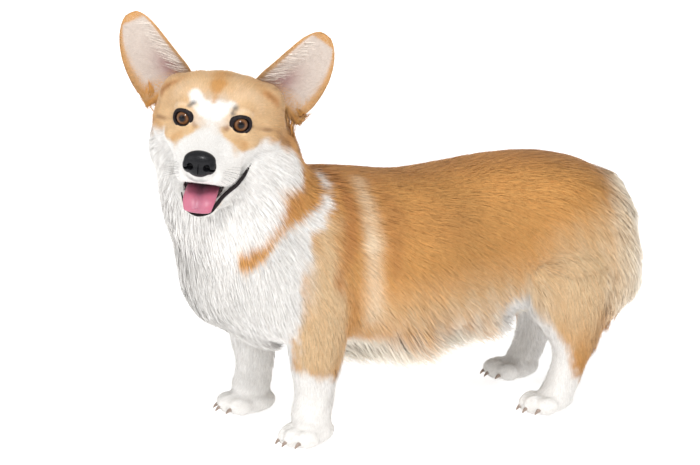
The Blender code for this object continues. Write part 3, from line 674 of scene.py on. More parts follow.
BODY_GUIDES = {
    "bib": (
        ((0, -222, 225), (0, 0.10, -1), 38, 1.3, 5.5, 0.12, 0.3, 2.0),
        ((45, -215, 225), (0.1, 0.15, -1), 38, 1.3, 5, 0.12, 0.3, 2.0),
        ((0, -212, 165), (0, 0.25, -1), 38, 1.3, 6, 0.15, 0.3, 2.0),
        ((52, -190, 160), (0.05, 0.35, -1), 36, 1.3, 5, 0.12, 0.3, 2.0),
        ((0, -185, 112), (0, 0.6, -0.8), 34, 1.3, 6, 0.25, 0.3, 2.0),
        ((66, -178, 215), (0.05, 0.45, -1), 32, 1.2, 5, 0.12, 0.3, 2.5),
    ),
    "neck": (
        ((68, -160, 255), (0.05, 0.6, -0.9), 32, 1.3, 6, 0.1, 0.4, 3.0),
        ((45, -135, 285), (0.05, 0.75, -0.7), 28, 1.2, 5, 0.1, 0.3, 3.0),
        ((0, -128, 300), (0, 0.75, -0.8), 26, 1.2, 5, 0.1, 0.3, 3.0),
    ),
    "back": (
        ((0, -70, 266), (0, 1, -0.05), 22, 1.0, 3.5, 0, 0.25, 3.5),
        ((0, 40, 259), (0, 1, 0.0), 21, 1.0, 3.5, 0, 0.25, 3.5),
        ((0, 140, 262), (0, 1, -0.1), 22, 1.0, 3.5, 0, 0.25, 3.5),
        ((40, -20, 250), (0.15, 1, -0.2), 21, 1.0, 3.5, 0, 0.25, 3.5),
        ((40, 110, 255), (0.1, 1, -0.25), 22, 1.0, 3.5, 0, 0.25, 3.5),
        ((0, 205, 246), (0, 0.8, -0.6), 24, 1.1, 4.5, 0, 0.3, 3.5),
    ),
    "shoulder": (
        ((76, -125, 225), (0.05, 0.7, -0.7), 24, 1.1, 4.5, 0, 0.3, 3.5),
        ((84, -140, 175), (0.05, 0.4, -0.9), 24, 1.1, 4.5, 0, 0.35, 3.5),
        ((80, -130, 125), (0.0, 0.25, -1), 18, 1.0, 4.0, 0, 0.3, 3.0),
    ),
    "flank": (
        ((82, -60, 225), (0, 0.85, -0.5), 22, 1.0, 4.0, 0, 0.3, 3.5),
        ((84, -60, 165), (0, 0.7, -0.7), 24, 1.1, 4.0, 0, 0.3, 3.5),
        ((72, -60, 112), (-0.1, 0.6, -0.8), 34, 1.1, 8.0, 0.35, 0.3, 3.0),
        ((82, 20, 220), (0, 0.9, -0.4), 22, 1.0, 4.0, 0, 0.3, 3.5),
        ((82, 20, 165), (0, 0.75, -0.65), 24, 1.1, 4.0, 0, 0.3, 3.5),
        ((70, 20, 116), (-0.1, 0.65, -0.8), 36, 1.1, 8.0, 0.35, 0.3, 3.0),
        ((80, 90, 220), (0, 0.85, -0.5), 23, 1.0, 4.0, 0, 0.3, 3.5),
        ((78, 90, 165), (0, 0.7, -0.7), 25, 1.1, 4.5, 0, 0.3, 3.5),
        ((66, 90, 124), (-0.1, 0.6, -0.8), 34, 1.1, 7.0, 0.3, 0.3, 3.0),
    ),
    "belly": (
        ((0, -70, 92), (0, 0.8, -0.8), 42, 1.1, 22, 0.6, 0.3, 2.0),
        ((40, -30, 95), (0.1, 0.7, -0.85), 46, 1.1, 23, 0.7, 0.3, 2.0),
        ((0, 20, 97), (0, 0.8, -0.8), 42, 1.1, 22, 0.6, 0.3, 2.0),
        ((40, 60, 100), (0.1, 0.7, -0.85), 42, 1.1, 18, 0.6, 0.3, 2.0),
        ((0, 110, 110), (0, 0.85, -0.6), 28, 1.2, 12, 0.4, 0.4, 2.5),
        ((0, 160, 122), (0, 0.8, -0.6), 16, 1.0, 5, 0.1, 0.3, 2.5),
    ),
    "thigh": (
        ((62, 165, 238), (0.05, 0.75, -0.65), 24, 1.1, 4.5, 0, 0.3, 3.5),
        ((82, 175, 190), (0.02, 0.5, -0.85), 26, 1.1, 5.0, 0, 0.35, 3.5),
        ((84, 160, 140), (0, 0.35, -0.95), 24, 1.1, 4.5, 0, 0.35, 3.5),
    ),
    "breeches": (
        ((40, 232, 205), (0.1, 0.40, -0.9), 36, 1.0, 9, 0.15, 0.3, 6.5),
        ((20, 240, 165), (0.0, 0.25, -1), 44, 1.0, 13, 0.3, 0.3, 8.0),
        ((55, 225, 165), (0.05, 0.25, -1), 42, 1.0, 12, 0.25, 0.3, 7.0),
        ((35, 205, 118), (0, 0.25, -1), 36, 1.0, 10, 0.35, 0.3, 4.5),
        ((66, 205, 120), (0.05, 0.25, -1), 30, 1.0, 8, 0.25, 0.3, 4.0),
        ((0, 246, 212), (0, 0.4, -0.9), 24, 1.2, 4, 0.1, 0.4, 2.0),
    ),
    "foreleg": (
        ((86, -134, 105), (0, 0.1, -1), 15, 0.9, 3.5, 0, 0.3, 2.5),
        ((80, -130, 75), (0, 0.05, -1), 10, 0.8, 2.5, 0, 0.2, 2.0),
        ((78, -130, 48), (0, 0, -1), 7, 0.7, 1.6, 0, 0.15, 1.6),
        ((60, -100, 98), (0, 0.45, -0.9), 20, 1.0, 6.0, 0.1, 0.4, 2.5),
        ((58, -108, 60), (0, 0.25, -1), 12, 0.9, 3.5, 0, 0.3, 2.0),
        ((36, -130, 90), (0, 0.1, -1), 10, 0.8, 2.5, 0, 0.2, 2.0),
        ((38, -130, 50), (0, 0.05, -1), 7, 0.7, 1.8, 0, 0.15, 1.6),
        ((60, -162, 100), (0, -0.05, -1), 11, 0.8, 2.5, 0, 0.25, 2.0),
        ((58, -156, 55), (0, -0.05, -1), 7, 0.7, 1.6, 0, 0.15, 1.6),
        ((58, -166, 14), (0, -1, -0.55), 5, 0.6, 1.1, 0, 0.1, 1.3),
        ((58, -142, 27), (0, -0.75, -0.7), 6, 0.6, 1.3, 0, 0.1, 1.4),
        ((78, -138, 12), (0.1, -0.5, -0.9), 5, 0.6, 1.2, 0, 0.1, 1.3),
        ((58, -110, 14), (0, 0.3, -1), 6, 0.6, 1.5, 0, 0.1, 1.3),
    ),
    "hindleg": (
        ((84, 155, 108), (0, 0.2, -1), 18, 1.0, 4.5, 0, 0.35, 2.8),
        ((80, 162, 75), (0, 0.15, -1), 13, 0.9, 3.0, 0, 0.3, 2.2),
        ((78, 158, 48), (0, 0, -1), 8, 0.7, 1.8, 0, 0.15, 1.7),
        ((62, 188, 82), (0, 0.35, -0.95), 22, 1.1, 7.0, 0.15, 0.45, 2.5),
        ((62, 178, 50), (0, 0.1, -1), 10, 0.8, 3.0, 0, 0.25, 1.8),
        ((62, 118, 92), (0, 0.1, -1), 14, 0.9, 3.5, 0, 0.3, 2.5),
        ((62, 140, 45), (0, 0, -1), 7, 0.7, 1.6, 0, 0.15, 1.6),
        ((40, 150, 85), (0, 0.15, -1), 11, 0.8, 2.5, 0, 0.2, 2.2),
        ((62, 102, 14), (0, -1, -0.55), 5, 0.6, 1.1, 0, 0.1, 1.3),
        ((62, 126, 26), (0, -0.75, -0.7), 6, 0.6, 1.3, 0, 0.1, 1.4),
        ((81, 130, 12), (0.1, -0.5, -0.9), 5, 0.6, 1.2, 0, 0.1, 1.3),
        ((62, 158, 14), (0, 0.3, -1), 6, 0.6, 1.5, 0, 0.1, 1.3),
    ),
}
HEAD_GUIDES = {
    "face": (
        ((0, -47, -17), (0, 1, 0.35), 3.2, 0.42, 0.5, 0, 0, 1.0),
        ((0, -25, -8), (0, 1, 0.5), 4.5, 0.45, 0.6, 0, 0, 1.1),
        ((0, -4, 12), (0, 0.75, 0.75), 5.5, 0.48, 0.8, 0, 0, 1.2),
        ((0, 18, 31), (0, 1, 0.5), 8, 0.55, 1.2, 0, 0.05, 1.6),
        ((14, -30, -14), (0.25, 1, 0.15), 4.5, 0.45, 0.6, 0, 0, 1.1),
        ((12, -8, -1), (-0.35, 0.8, 0.7), 4, 0.42, 0.5, 0, 0, 1.0),
        ((22, 2, 14), (0.1, 0.8, 0.8), 5.5, 0.48, 0.9, 0, 0, 1.0),
        ((32, 8, 17), (0.45, 0.8, 0.5), 6, 0.5, 0.8, 0, 0, 1.2),
        ((30, 28, 33), (0.35, 0.9, 0.3), 8.5, 0.55, 1.2, 0, 0.05, 1.6),
        ((46, 20, 10), (0.5, 0.9, 0.1), 7.5, 0.5, 1.0, 0, 0.05, 1.4),
        ((28, -6, -11), (0.6, 0.7, -0.35), 5, 0.45, 0.7, 0, 0, 1.0),
        ((42, 6, -6), (0.55, 0.85, -0.15), 6.5, 0.5, 0.8, 0, 0, 1.2),
        ((22, -24, -24), (0.45, 0.9, -0.2), 5, 0.45, 0.7, 0, 0, 1.1),
        ((18, -42, -33), (0.5, 0.8, -0.3), 4, 0.42, 0.6, 0, 0, 1.0),
        ((7, -56, -43), (0.35, 0.2, -1), 3.2, 0.4, 0.6, 0, 0, 0.8),
        ((22, -32, -48), (0.6, 0.8, -0.55), 5, 0.45, 0.9, 0, 0, 1.0),
        ((33, -12, -44), (0.6, 0.8, -0.5), 6.5, 0.5, 1.0, 0, 0.05, 1.2),
        ((40, 4, -30), (0.55, 0.8, -0.4), 8, 0.55, 1.2, 0, 0.1, 1.5),
        ((56, 24, -20), (0.5, 0.8, -0.4), 12, 0.7, 2.0, 0, 0.15, 2.2),
    ),
    "cheek": (
        ((44, 10, -52), (0.45, 0.7, -0.75), 13, 0.75, 2.4, 0, 0.2, 2.0),
        ((64, 36, -42), (0.4, 0.7, -0.8), 22, 1.0, 4.5, 0.1, 0.35, 2.8),
        ((60, 32, -75), (0.3, 0.6, -1), 28, 1.1, 6.0, 0.15, 0.4, 2.5),
        ((72, 62, -25), (0.3, 0.8, -0.7), 20, 0.9, 4.0, 0.05, 0.3, 2.8),
        ((0, -44, -84), (0, 0.4, -1), 6, 0.5, 1.2, 0, 0.1, 1.0),
        ((16, -36, -82), (0.15, 0.5, -1), 8, 0.6, 1.5, 0, 0.15, 1.0),
        ((0, -16, -86), (0, 0.6, -1), 15, 0.8, 3.5, 0.1, 0.25, 1.5),
        ((32, -6, -76), (0.3, 0.6, -1), 15, 0.8, 3.0, 0.1, 0.25, 1.5),
        ((0, 22, -100), (0, 0.5, -1), 28, 1.1, 6, 0.15, 0.4, 2.0),
    ),
    "crown": (
        ((40, 50, 36), (0.5, 0.7, 0.45), 10, 0.6, 1.6, 0, 0.1, 1.8),
        ((0, 50, 38), (0, 1, 0.0), 11, 0.65, 2.0, 0, 0.1, 2.2),
        ((0, 96, 18), (0, 0.75, -0.7), 20, 0.9, 4.0, 0, 0.2, 3.0),
        ((52, 84, 10), (0.3, 0.8, -0.5), 18, 0.9, 3.5, 0, 0.2, 2.8),
        ((46, 30, 22), (0.5, 0.6, 0.55), 7.5, 0.55, 1.1, 0, 0.05, 1.5),
        ((64, 50, 0), (0.5, 0.7, 0.0), 10, 0.65, 2.0, 0, 0.1, 2.0),
    ),
}


# How far in mm a guide reaches on the body and on the head, and how many points are read at a time
BODY_REACH, HEAD_REACH = 40.0, 16.0
BATCH = 20000


class Grooming:
    """Reads the chart anywhere on the skin, by blending the guides that are near."""

    def __init__(self, body, head):
        rows = []
        turn = np.array(HEAD.to_3x3())
        for charted, is_head, reach in ((body, False, BODY_REACH), (head, True, HEAD_REACH)):
            guides = [(region, guide) for region, listed in charted.items() for guide in listed]
            for region, (spot, lie, *values) in guides:
                for side in (1, -1) if spot[0] else (1,):
                    place = np.array(spot, float) * (side, 1, 1)
                    heading = np.array(lie, float) * (side, 1, 1)
                    if is_head:
                        place = from_head(place[None])[0]
                        heading = turn @ heading
                    else:
                        place = place * MM
                    heading = heading / np.linalg.norm(heading)
                    rows.append((place, heading, values, region, reach))
        self.spots = np.array([row[0] for row in rows])
        self.lies = np.array([row[1] for row in rows])
        self.values = np.array([row[2] for row in rows])
        self.regions = np.array([row[3] for row in rows])
        self.reach = np.array([row[4] for row in rows]) * MM

    def read(self, points):
        """Lie, values and region at each point."""
        out = {name: np.empty(len(points)) for name in ("length", "width", "lift", "free", "gather", "depth")}
        lies = np.empty((len(points), 3))
        nearest = np.empty(len(points), int)
        for start in range(0, len(points), BATCH):
            part = slice(start, start + BATCH)
            gaps = np.linalg.norm(points[part][:, None] - self.spots[None], axis=2) / self.reach
            weights = (gaps**2 + 0.02) ** -2.5
            nearest[part] = weights.argmax(1)
            weights /= weights.sum(1, keepdims=True)
            lies[part] = weights @ self.lies
            values = weights @ self.values
            for column, name in enumerate(out):
                out[name][part] = values[:, column]
        out["lie"] = lies / np.maximum(np.linalg.norm(lies, axis=1, keepdims=True), 1e-6)
        out["region"] = self.regions[nearest]
        return out


GROOMING = Grooming(BODY_GUIDES, HEAD_GUIDES)


# The markings: each is a chain of balls in mm with a soft edge, painted in order over the tan ground

TAN = (0.61, 0.308, 0.090)
RED = (0.47, 0.205, 0.060)
PALE = (0.67, 0.485, 0.285)
SANDY = (0.69, 0.475, 0.265)
FAWN = (0.77, 0.60, 0.42)
CREAM = (0.84, 0.70, 0.51)
WHITE = (0.83, 0.815, 0.79)
IVORY = (0.90, 0.83, 0.72)
# White greyed by painted shade, for the bib, the shoulder stripe and the muzzle
SHADED_WHITE = (0.68, 0.665, 0.64)
GREY = (0.09, 0.085, 0.085)
BROWN = (0.26, 0.115, 0.045)

# Colour, strength, softness and roughness of the edge in mm, chain of x, y, z and radius, and whether it
# stands on both sides
BODY_MARKS = (
    # The back, the sides and the paler lower flank and thigh
    (RED, 0.60, 30, 6, ((0, -110, 290, 44), (0, 60, 290, 48), (0, 200, 268, 42)), False),
    (RED, 0.40, 26, 10, ((84, -30, 225, 14), (86, 20, 215, 16)), True),
    (PALE, 0.85, 30, 8, ((88, -40, 104, 34), (84, 60, 114, 36), (94, 165, 120, 46)), True),
    (PALE, 0.80, 30, 8, ((96, 160, 160, 38), (92, 205, 190, 26)), True),
    # The shoulder: a pale blade with dark and cream bands behind it
    (PALE, 0.90, 14, 8,
     ((74, -116, 226, 12), (86, -128, 190, 22), (86, -126, 150, 26), (82, -130, 100, 30)), True),
    (RED, 0.95, 6, 4, ((5, -97, 268, 6), (48, -88, 252, 7), (67, -89, 232, 8), (77, -93, 209, 8)), True),
    (RED, 0.80, 6, 4, ((77, -93, 209, 8), (80, -101, 188, 7), (82, -110, 167, 6)), True),
    (RED, 0.55, 7, 4, ((82, -110, 167, 5), (78, -94, 146, 5), (70, -88, 122, 5)), True),
    (CREAM, 0.75, 9, 3,
     ((32, -67, 259, 4), (53, -70, 247, 6), (68, -70, 230, 7), (78, -71, 202, 9)), True),
    (CREAM, 0.65, 9, 3,
     ((78, -71, 202, 9), (80, -72, 172, 10), (78, -70, 150, 11), (69, -66, 128, 12)), True),
    (RED, 0.65, 9, 5, ((25, -48, 262, 6), (61, -46, 238, 8), (77, -46, 205, 8), (80, -48, 172, 7)), True),
    # The edge of the belly, the belly and the breeches
    (CREAM, 0.90, 22, 8,
     ((76, -60, 90, 24), (74, 0, 92, 24), (70, 60, 104, 24), (66, 100, 116, 18)), True),
    (IVORY, 0.9, 16, 8, ((58, -60, 70, 24), (56, 0, 74, 24), (52, 60, 88, 22), (46, 96, 100, 18)), True),
    (IVORY, 1.0, 14, 7, ((0, -80, 64, 56), (0, 40, 66, 52), (0, 130, 90, 44)), False),
    (CREAM, 0.90, 24, 8,
     ((20, 266, 214, 48), (50, 258, 175, 62), (58, 246, 128, 60), (52, 230, 100, 38)), True),
    (IVORY, 0.95, 17, 7, ((0, 276, 205, 42), (30, 272, 168, 54), (38, 256, 120, 54)), True),
    # The bib, the white shoulder stripe and the tan wedge in front of it
    (WHITE, 1.0, 7, 7,
     ((0, -205, 292, 64), (0, -208, 235, 68), (0, -192, 165, 76), (0, -165, 110, 70)), False),
    # Painted shade greying the white bib under the head
    (SHADED_WHITE, 0.8, 30, 8, ((0, -222, 262, 36), (0, -222, 215, 52), (0, -205, 150, 58)), False),
    (WHITE, 1.0, 4, 5,
     ((12, -102, 268, 3), (50, -105, 254, 4), (60, -112, 241, 7), (67, -128, 229, 9)), True),
    (WHITE, 1.0, 4, 6,
     ((67, -128, 229, 9), (71, -146, 219, 13), (74, -159, 200, 20), (76, -168, 165, 17)), True),
    (WHITE, 1.0, 5, 5, ((76, -168, 165, 17), (76, -168, 140, 14), (76, -166, 118, 14)), True),
    # Painted shade greying the front of the white shoulder stripe
    (SHADED_WHITE, 0.8, 16, 5, ((74, -160, 200, 22), (74, -172, 150, 26)), True),
    (TAN, 1.0, 4, 4,
     ((20, -125, 290, 24), (52, -140, 270, 19), (60, -134, 254, 20), (67, -149, 243, 16)), True),
    (TAN, 1.0, 3, 3,
     ((67, -149, 243, 16), (70, -168, 235, 12), (71, -184, 217, 13), (67, -197, 199, 13)), True),
    (TAN, 1.0, 3, 3, ((67, -197, 199, 11), (60, -206, 184, 6)), True),
    (RED, 0.60, 7, 5,
     ((56, -134, 262, 9), (68, -152, 243, 9), (71, -180, 222, 7), (66, -200, 198, 6)), True),
    # The legs, and the parts of the right ones that the picture shows
    (WHITE, 1.0, 6, 6, ((58, -140, 46, 36), (58, -140, 10, 46)), True),
    (WHITE, 1.0, 8, 6, ((30, -140, 90, 22), (34, -140, 40, 22)), True),
    (WHITE, 1.0, 6, 5, ((62, -94, 54, 24), (62, -84, 82, 20)), True),
    (WHITE, 1.0, 8, 6, ((-62, -165, 120, 30), (-66, -160, 80, 30), (-66, -170, 8, 48)), False),
    (WHITE, 1.0, 6, 5,
     ((40, 108, 112, 22), (52, 112, 92, 27), (60, 122, 66, 29), (60, 134, 32, 29)), True),
    (WHITE, 1.0, 5, 5, ((62, 130, 14, 34), (62, 146, 22, 23)), True),
    (WHITE, 1.0, 6, 5,
     ((26, 158, 100, 24), (32, 166, 78, 24), (38, 174, 52, 28), (42, 174, 14, 28)), True),
    (WHITE, 1.0, 8, 6, ((-58, 130, 10, 46), (-58, 172, 20, 30), (-56, 178, 40, 24)), False),
)
HEAD_MARKS = (
    # The sandy face, its white muzzle and cheeks, and the blaze
    (SANDY, 0.9, 12, 4, ((0, 44, 8, 66), (0, 0, 0, 58)), False),
    (FAWN, 0.45, 10, 5, ((14, 12, 30, 9), (28, 14, 30, 10), (40, 20, 24, 9)), True),
    (WHITE, 1.0, 5, 3, ((0, -50, -34, 26), (0, -30, -34, 33), (0, -8, -46, 40)), False),
    (WHITE, 1.0, 6, 4, ((40, 0, -44, 30), (56, 24, -46, 27), (62, 46, -58, 24)), True),
    (WHITE, 1.0, 6, 4, ((0, 10, -95, 58), (30, 20, -90, 42)), True),
    (WHITE, 1.0, 3, 2.5, ((0, -38, -9, 13), (0, -22, 1, 9.5), (0, -12, 8, 9), (0, -2, 14, 9)), False),
    # Painted shade greying the white muzzle along its bridge and up the blaze
    (SHADED_WHITE, 0.7, 16, 3, ((0, -44, -20, 22), (0, -12, -10, 22), (0, 0, 12, 14)), False),
    (WHITE, 1.0, 3, 2.5, ((-5, -4, 12, 8), (-15, 1, 18, 8), (-20, 8, 26, 8)), False),
    (WHITE, 1.0, 3, 2.5, ((4, -4, 11, 8), (12, -1, 16, 7.5), (16, 2, 19, 6)), False),
    # The forehead, round the eyes, and the dark lines beside them: painted shade in the creases from their
    # outer corners, and a dark line at their inner corners
    (TAN, 0.85, 3, 2, ((-0.5, 2, 19, 1.5), (-1, 11, 27, 4.5), (-1, 24, 34, 10)), False),
    (SANDY, 1.0, 2.5, 2,
     ((14, -12, -5, 3.5), (21, -12, -9, 8.5), (31, -10, -13, 10), (44, 2, -12, 9)), True),
    (TAN, 0.55, 4, 3, ((22, -13, -16, 4), (34, -9, -18, 4)), True),
    (FAWN, 0.7, 3, 2, ((16, 2, 12, 2.5), (26, -1, 14, 2.5), (37, 7, 9, 2.5)), True),
    (TAN, 0.8, 7, 3, ((-1, 48, 42, 12), (-1, 24, 36, 6)), False),
    # Painted shade in the creases running from the outer eye corner towards the ear
    (BROWN, 0.75, 2, 1, ((38, 5, -2, 1.6), (48, 14, -6, 1.6), (60, 25, -8, 1.8)), True),
    (BROWN, 0.7, 4, 3, ((60, 25, -8, 2), (64, 36, -18, 3.5), (68, 52, -27, 4.5)), True),
    (BROWN, 0.85, 2.5, 2, ((16.5, -6, -3, 2.0), (13.5, -10, -7, 1.8)), True),
    # The grey tufts over the eyes, and painted shade at the nose and the chin
    (GREY, 0.95, 2.0, 3, ((-23, -1, 12, 2.8), (-21, 1, 17, 2.8), (-20, 4, 21, 1.6)), False),
    (GREY, 0.95, 2.0, 3, ((19, -2, 10.5, 2.6), (20, 1, 15, 2.6), (22, 4, 19, 1.6)), False),
    # Painted shade above the nose and under it
    (GREY, 0.60, 4, 4, ((-6, -50, -14, 2.5), (6, -50, -14, 2.5)), False),
    (GREY, 0.6, 4, 4, ((-9, -58, -44, 2.5), (9, -58, -44, 2.5)), False),
    # The roots of the ears
    (TAN, 0.55, 10, 3, ((34, 40, 40, 8), (46, 34, 30, 6)), True),
    (RED, 0.75, 4, 3, ((44, 32, 31, 3), (53, 39, 15, 6)), True),
    (BROWN, 0.65, 2.5, 3, ((47, 33, 30, 1.5), (52, 38, 14, 2)), True),
)


def waves(points, size, seed):
    """A smooth wandering value between about -1 and 1, with features of that size in metres."""
    draw = np.random.default_rng(seed)
    total = np.zeros(len(points))
    for octave in range(3):
        for _ in range(4):
            way = draw.normal(size=3)
            way *= 2 * math.pi * 2**octave / (size * np.linalg.norm(way) * 1.6)
            total += np.sin(points @ way + draw.uniform(0, 2 * math.pi)) * 0.62**octave
    return total / 3.0


def blend(first, second, share):
    """One colour turning into another, by a share from 0 to 1 at each point."""
    share = share[:, None]
    return np.array(first) * (1 - share) + np.array(second) * share


def chain_distance(points, chain):
    """Distance in mm from points to a chain of balls."""
    best = np.full(len(points), 1e9)
    for (ax, ay, az, ar), (bx, by, bz, br) in zip(chain, chain[1:]):
        a, along = np.array((ax, ay, az)), np.array((bx - ax, by - ay, bz - az))
        t = np.clip((points - a) @ along / max(along @ along, 1e-9), 0, 1)
        gap = np.linalg.norm(points - a - t[:, None] * along, axis=1) - (ar + t * (br - ar))
        best = np.minimum(best, gap)
    return best


def paint(points):
    """The colour of the coat at body points in metres."""
    colour = np.tile(np.array(TAN), (len(points), 1))
    tone = waves(points, 0.09, 3)[:, None]
    colour = colour * (1 + 0.10 * tone)
    ragged = waves(points, 0.012, 5)
    for places, marks in ((points * 1000, BODY_MARKS), (in_head(points), HEAD_MARKS)):
        folded = np.abs(places) * (1, 0, 0) + places * (0, 1, 1)
        for shade, strength, soft, rough, chain, mirrored in marks:
            gap = chain_distance(folded if mirrored else places, chain) + ragged * rough * 0.5
            cover = np.clip(0.5 - gap / (2 * soft), 0, 1)
            colour = blend(colour, shade, cover * cover * (3 - 2 * cover) * strength)
    return colour


# Materials

def shader_of(name, colour, roughness, **sockets):
    """A material with a Principled BSDF, and that shader."""
    material = bpy.data.materials.new(name)
    material.use_nodes = True
    shader = material.node_tree.nodes["Principled BSDF"]
    shader.inputs["Base Color"].default_value = (*colour, 1)
    shader.inputs["Roughness"].default_value = roughness
    for socket, value in sockets.items():
        shader.inputs[socket.replace("_", " ")].default_value = value
    return material, shader


def node(material, kind, **values):
    """A new node with its input values set by name."""
    made = material.node_tree.nodes.new(kind)
    for name, value in values.items():
        made.inputs[name.replace("_", " ")].default_value = value
    return made


def texture(material, kind, output, **values):
    """The output of a texture that is fixed to the animal."""
    place = node(material, "ShaderNodeTexCoord")
    made = node(material, kind, **values)
    material.node_tree.links.new(place.outputs["Object"], made.inputs["Vector"])
    return made.outputs[output]


def ramp_of(material, source, *stops):
    """A colour that runs through stops of position and colour as the source goes from 0 to 1."""
    ramp = node(material, "ShaderNodeValToRGB")
    elements = ramp.color_ramp.elements
    while len(elements) < len(stops):
        elements.new(0.5)
    for stop, (position, colour) in zip(elements, stops):
        stop.position = position
        stop.color = (*colour, 1)
    material.node_tree.links.new(source, ramp.inputs["Fac"])
    return ramp.outputs["Color"]


def painted(material):
    """The colour stored at the piece's vertices."""
    made = node(material, "ShaderNodeAttribute")
    made.attribute_name = "coat"
    return made.outputs["Color"]


def finished(material, shader, colour, height, strength, distance):
    """Gives the shader its colour, and a relief from the height's output."""
    links = material.node_tree.links
    links.new(colour, shader.inputs["Base Color"])
    made = node(material, "ShaderNodeBump", Strength=strength, Distance=distance)
    links.new(height, made.inputs["Height"])
    links.new(made.outputs["Normal"], shader.inputs["Normal"])
    return material


def coat_material(name, roughness, fine):
    """Hair: the markings' colour, varied a little from hair to hair."""
    sockets = {"Sheen_Weight": 0.08, "Sheen_Roughness": 0.4, "Specular_IOR_Level": 0.3}
    material, shader = shader_of(name, TAN, roughness, **sockets)
    noise = texture(material, "ShaderNodeTexNoise", "Fac", Scale=fine, Detail=3.0, Roughness=0.6)
    mix = node(material, "ShaderNodeMix")
    mix.data_type = "RGBA"
    mix.blend_type = "MULTIPLY"
    mix.inputs["Factor"].default_value = 1.0
    links = material.node_tree.links
    links.new(painted(material), mix.inputs["A"])
    links.new(ramp_of(material, noise, (0.3, (0.90, 0.885, 0.87)), (0.7, (1, 1, 1))), mix.inputs["B"])
    return finished(material, shader, mix.outputs["Result"], noise, 0.12, 0.0006)


def leather_material():
    """The pebbled black nose, its pebble tops painted greyer as a painted highlight and the grooves between
    them darker as painted shade.
    """
    sockets = {"Coat_Weight": 0.16, "Coat_Roughness": 0.2, "Specular_IOR_Level": 0.12}
    material, shader = shader_of("nose_leather", (0.012, 0.012, 0.014), 0.38, **sockets)
    pebbles = texture(material, "ShaderNodeTexVoronoi", "Distance", Scale=900.0)
    colour = ramp_of(material, pebbles, (0, (0.010, 0.010, 0.012)), (1, (0.003, 0.003, 0.004)))
    return finished(material, shader, colour, pebbles, 0.5, -0.0004)


def lip_material():
    """Black lip and lid skin, moist, with fine wrinkles."""
    sockets = {"Coat_Weight": 0.04, "Coat_Roughness": 0.15, "Specular_IOR_Level": 0.08}
    material, shader = shader_of("dark_skin", (0.014, 0.011, 0.011), 0.45, **sockets)
    noise = texture(material, "ShaderNodeTexNoise", "Fac", Scale=700.0, Detail=3.0)
    colour = ramp_of(material, noise, (0, (0.006, 0.005, 0.006)), (1, (0.026, 0.019, 0.020)))
    return finished(material, shader, colour, noise, 0.35, 0.0005)


def tongue_material():
    """A wet pink tongue with a fine grain, in the colours stored at its vertices."""
    sockets = {"Coat_Weight": 0.18, "Coat_Roughness": 0.3, "Subsurface_Weight": 0.2, "Subsurface_Scale": 0.6}
    material, shader = shader_of("tongue", (0.60, 0.20, 0.26), 0.5, **sockets)
    shader.inputs["Subsurface Radius"].default_value = (0.004, 0.0015, 0.001)
    noise = texture(material, "ShaderNodeTexNoise", "Fac", Scale=1500.0, Detail=2.0)
    return finished(material, shader, painted(material), noise, 0.3, 0.0003)


def horn_material():
    """Dark horn with paler streaks."""
    sockets = {"Coat_Weight": 0.2, "Coat_Roughness": 0.3}
    material, shader = shader_of("claw_horn", (0.42, 0.30, 0.22), 0.4, **sockets)
    noise = texture(material, "ShaderNodeTexNoise", "Fac", Scale=500.0, Detail=3.0)
    colour = ramp_of(material, noise, (0, (0.13, 0.09, 0.07)), (1, (0.40, 0.31, 0.25)))
    return finished(material, shader, colour, noise, 0.2, 0.0003)


# The eye's colours from the middle of the pupil outward, where 1 stands for IRIS_SCALE mm
IRIS_SCALE = 10
EYE_STOPS = (
    (0.0, (0.003, 0.003, 0.004)),
    (0.28, (0.004, 0.003, 0.004)),
    (0.36, (0.060, 0.024, 0.010)),
    (0.50, (0.170, 0.075, 0.030)),
    (0.62, (0.110, 0.046, 0.018)),
    (0.70, (0.010, 0.006, 0.005)),
    (0.80, (0.008, 0.005, 0.005)),
    (1.0, (0.012, 0.008, 0.007)),
)


def eye_material():
    """A dark pupil, a brown iris with rays, dark round it, and a wet coat over all."""
    sockets = {"Coat_Weight": 0.45, "Coat_Roughness": 0.02, "Specular_IOR_Level": 0.0}
    material, shader = shader_of("eye", (0.03, 0.015, 0.008), 0.3, **sockets)
    links = material.node_tree.links
    spot = node(material, "ShaderNodeUVMap")
    spot.uv_map = "iris"
    away = node(material, "ShaderNodeVectorMath")
    away.operation = "LENGTH"
    links.new(spot.outputs["UV"], away.inputs[0])
    rays = node(material, "ShaderNodeTexNoise", Scale=9.0, Detail=4.0)
    links.new(spot.outputs["UV"], rays.inputs["Vector"])
    shift = node(material, "ShaderNodeMath")
    shift.operation = "MULTIPLY_ADD"
    shift.inputs[1].default_value = 0.06
    links.new(rays.outputs["Fac"], shift.inputs[0])
    links.new(away.outputs["Value"], shift.inputs[2])
    links.new(ramp_of(material, shift.outputs["Value"], *EYE_STOPS), shader.inputs["Base Color"])
    return material


# Showing pieces

# How far in mm the middle of a solid eye's box is in front of its ball's centre, because of the cornea
EYE_BULGE = 0.25


def place_of_animal():
    """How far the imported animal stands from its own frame, told by its eyes."""
    corners = [Vector(corner) for side in ("left", "right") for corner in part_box("eye_" + side)]
    middle = sum(corners, Vector()) / 4
    spot = HEAD @ Vector((0, (EYE_SPOT[1] - EYE_BULGE) * MM, 0))
    return Vector((middle.x - spot.x, middle.y - spot.y, 0))


PLACE = place_of_animal()


def show(obj, name, material, replaced=()):
    """Names a finished piece, dresses it, puts it in place and ties it to the body."""
    obj.name = name
    obj.data.name = name
    obj.data.transform(Matrix.Translation(PLACE))
    obj.data.materials.clear()
    obj.data.materials.append(material)
    obj.data.shade_smooth()
    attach(obj, "root")
    if replaced:
        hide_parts(*replaced)
    return obj


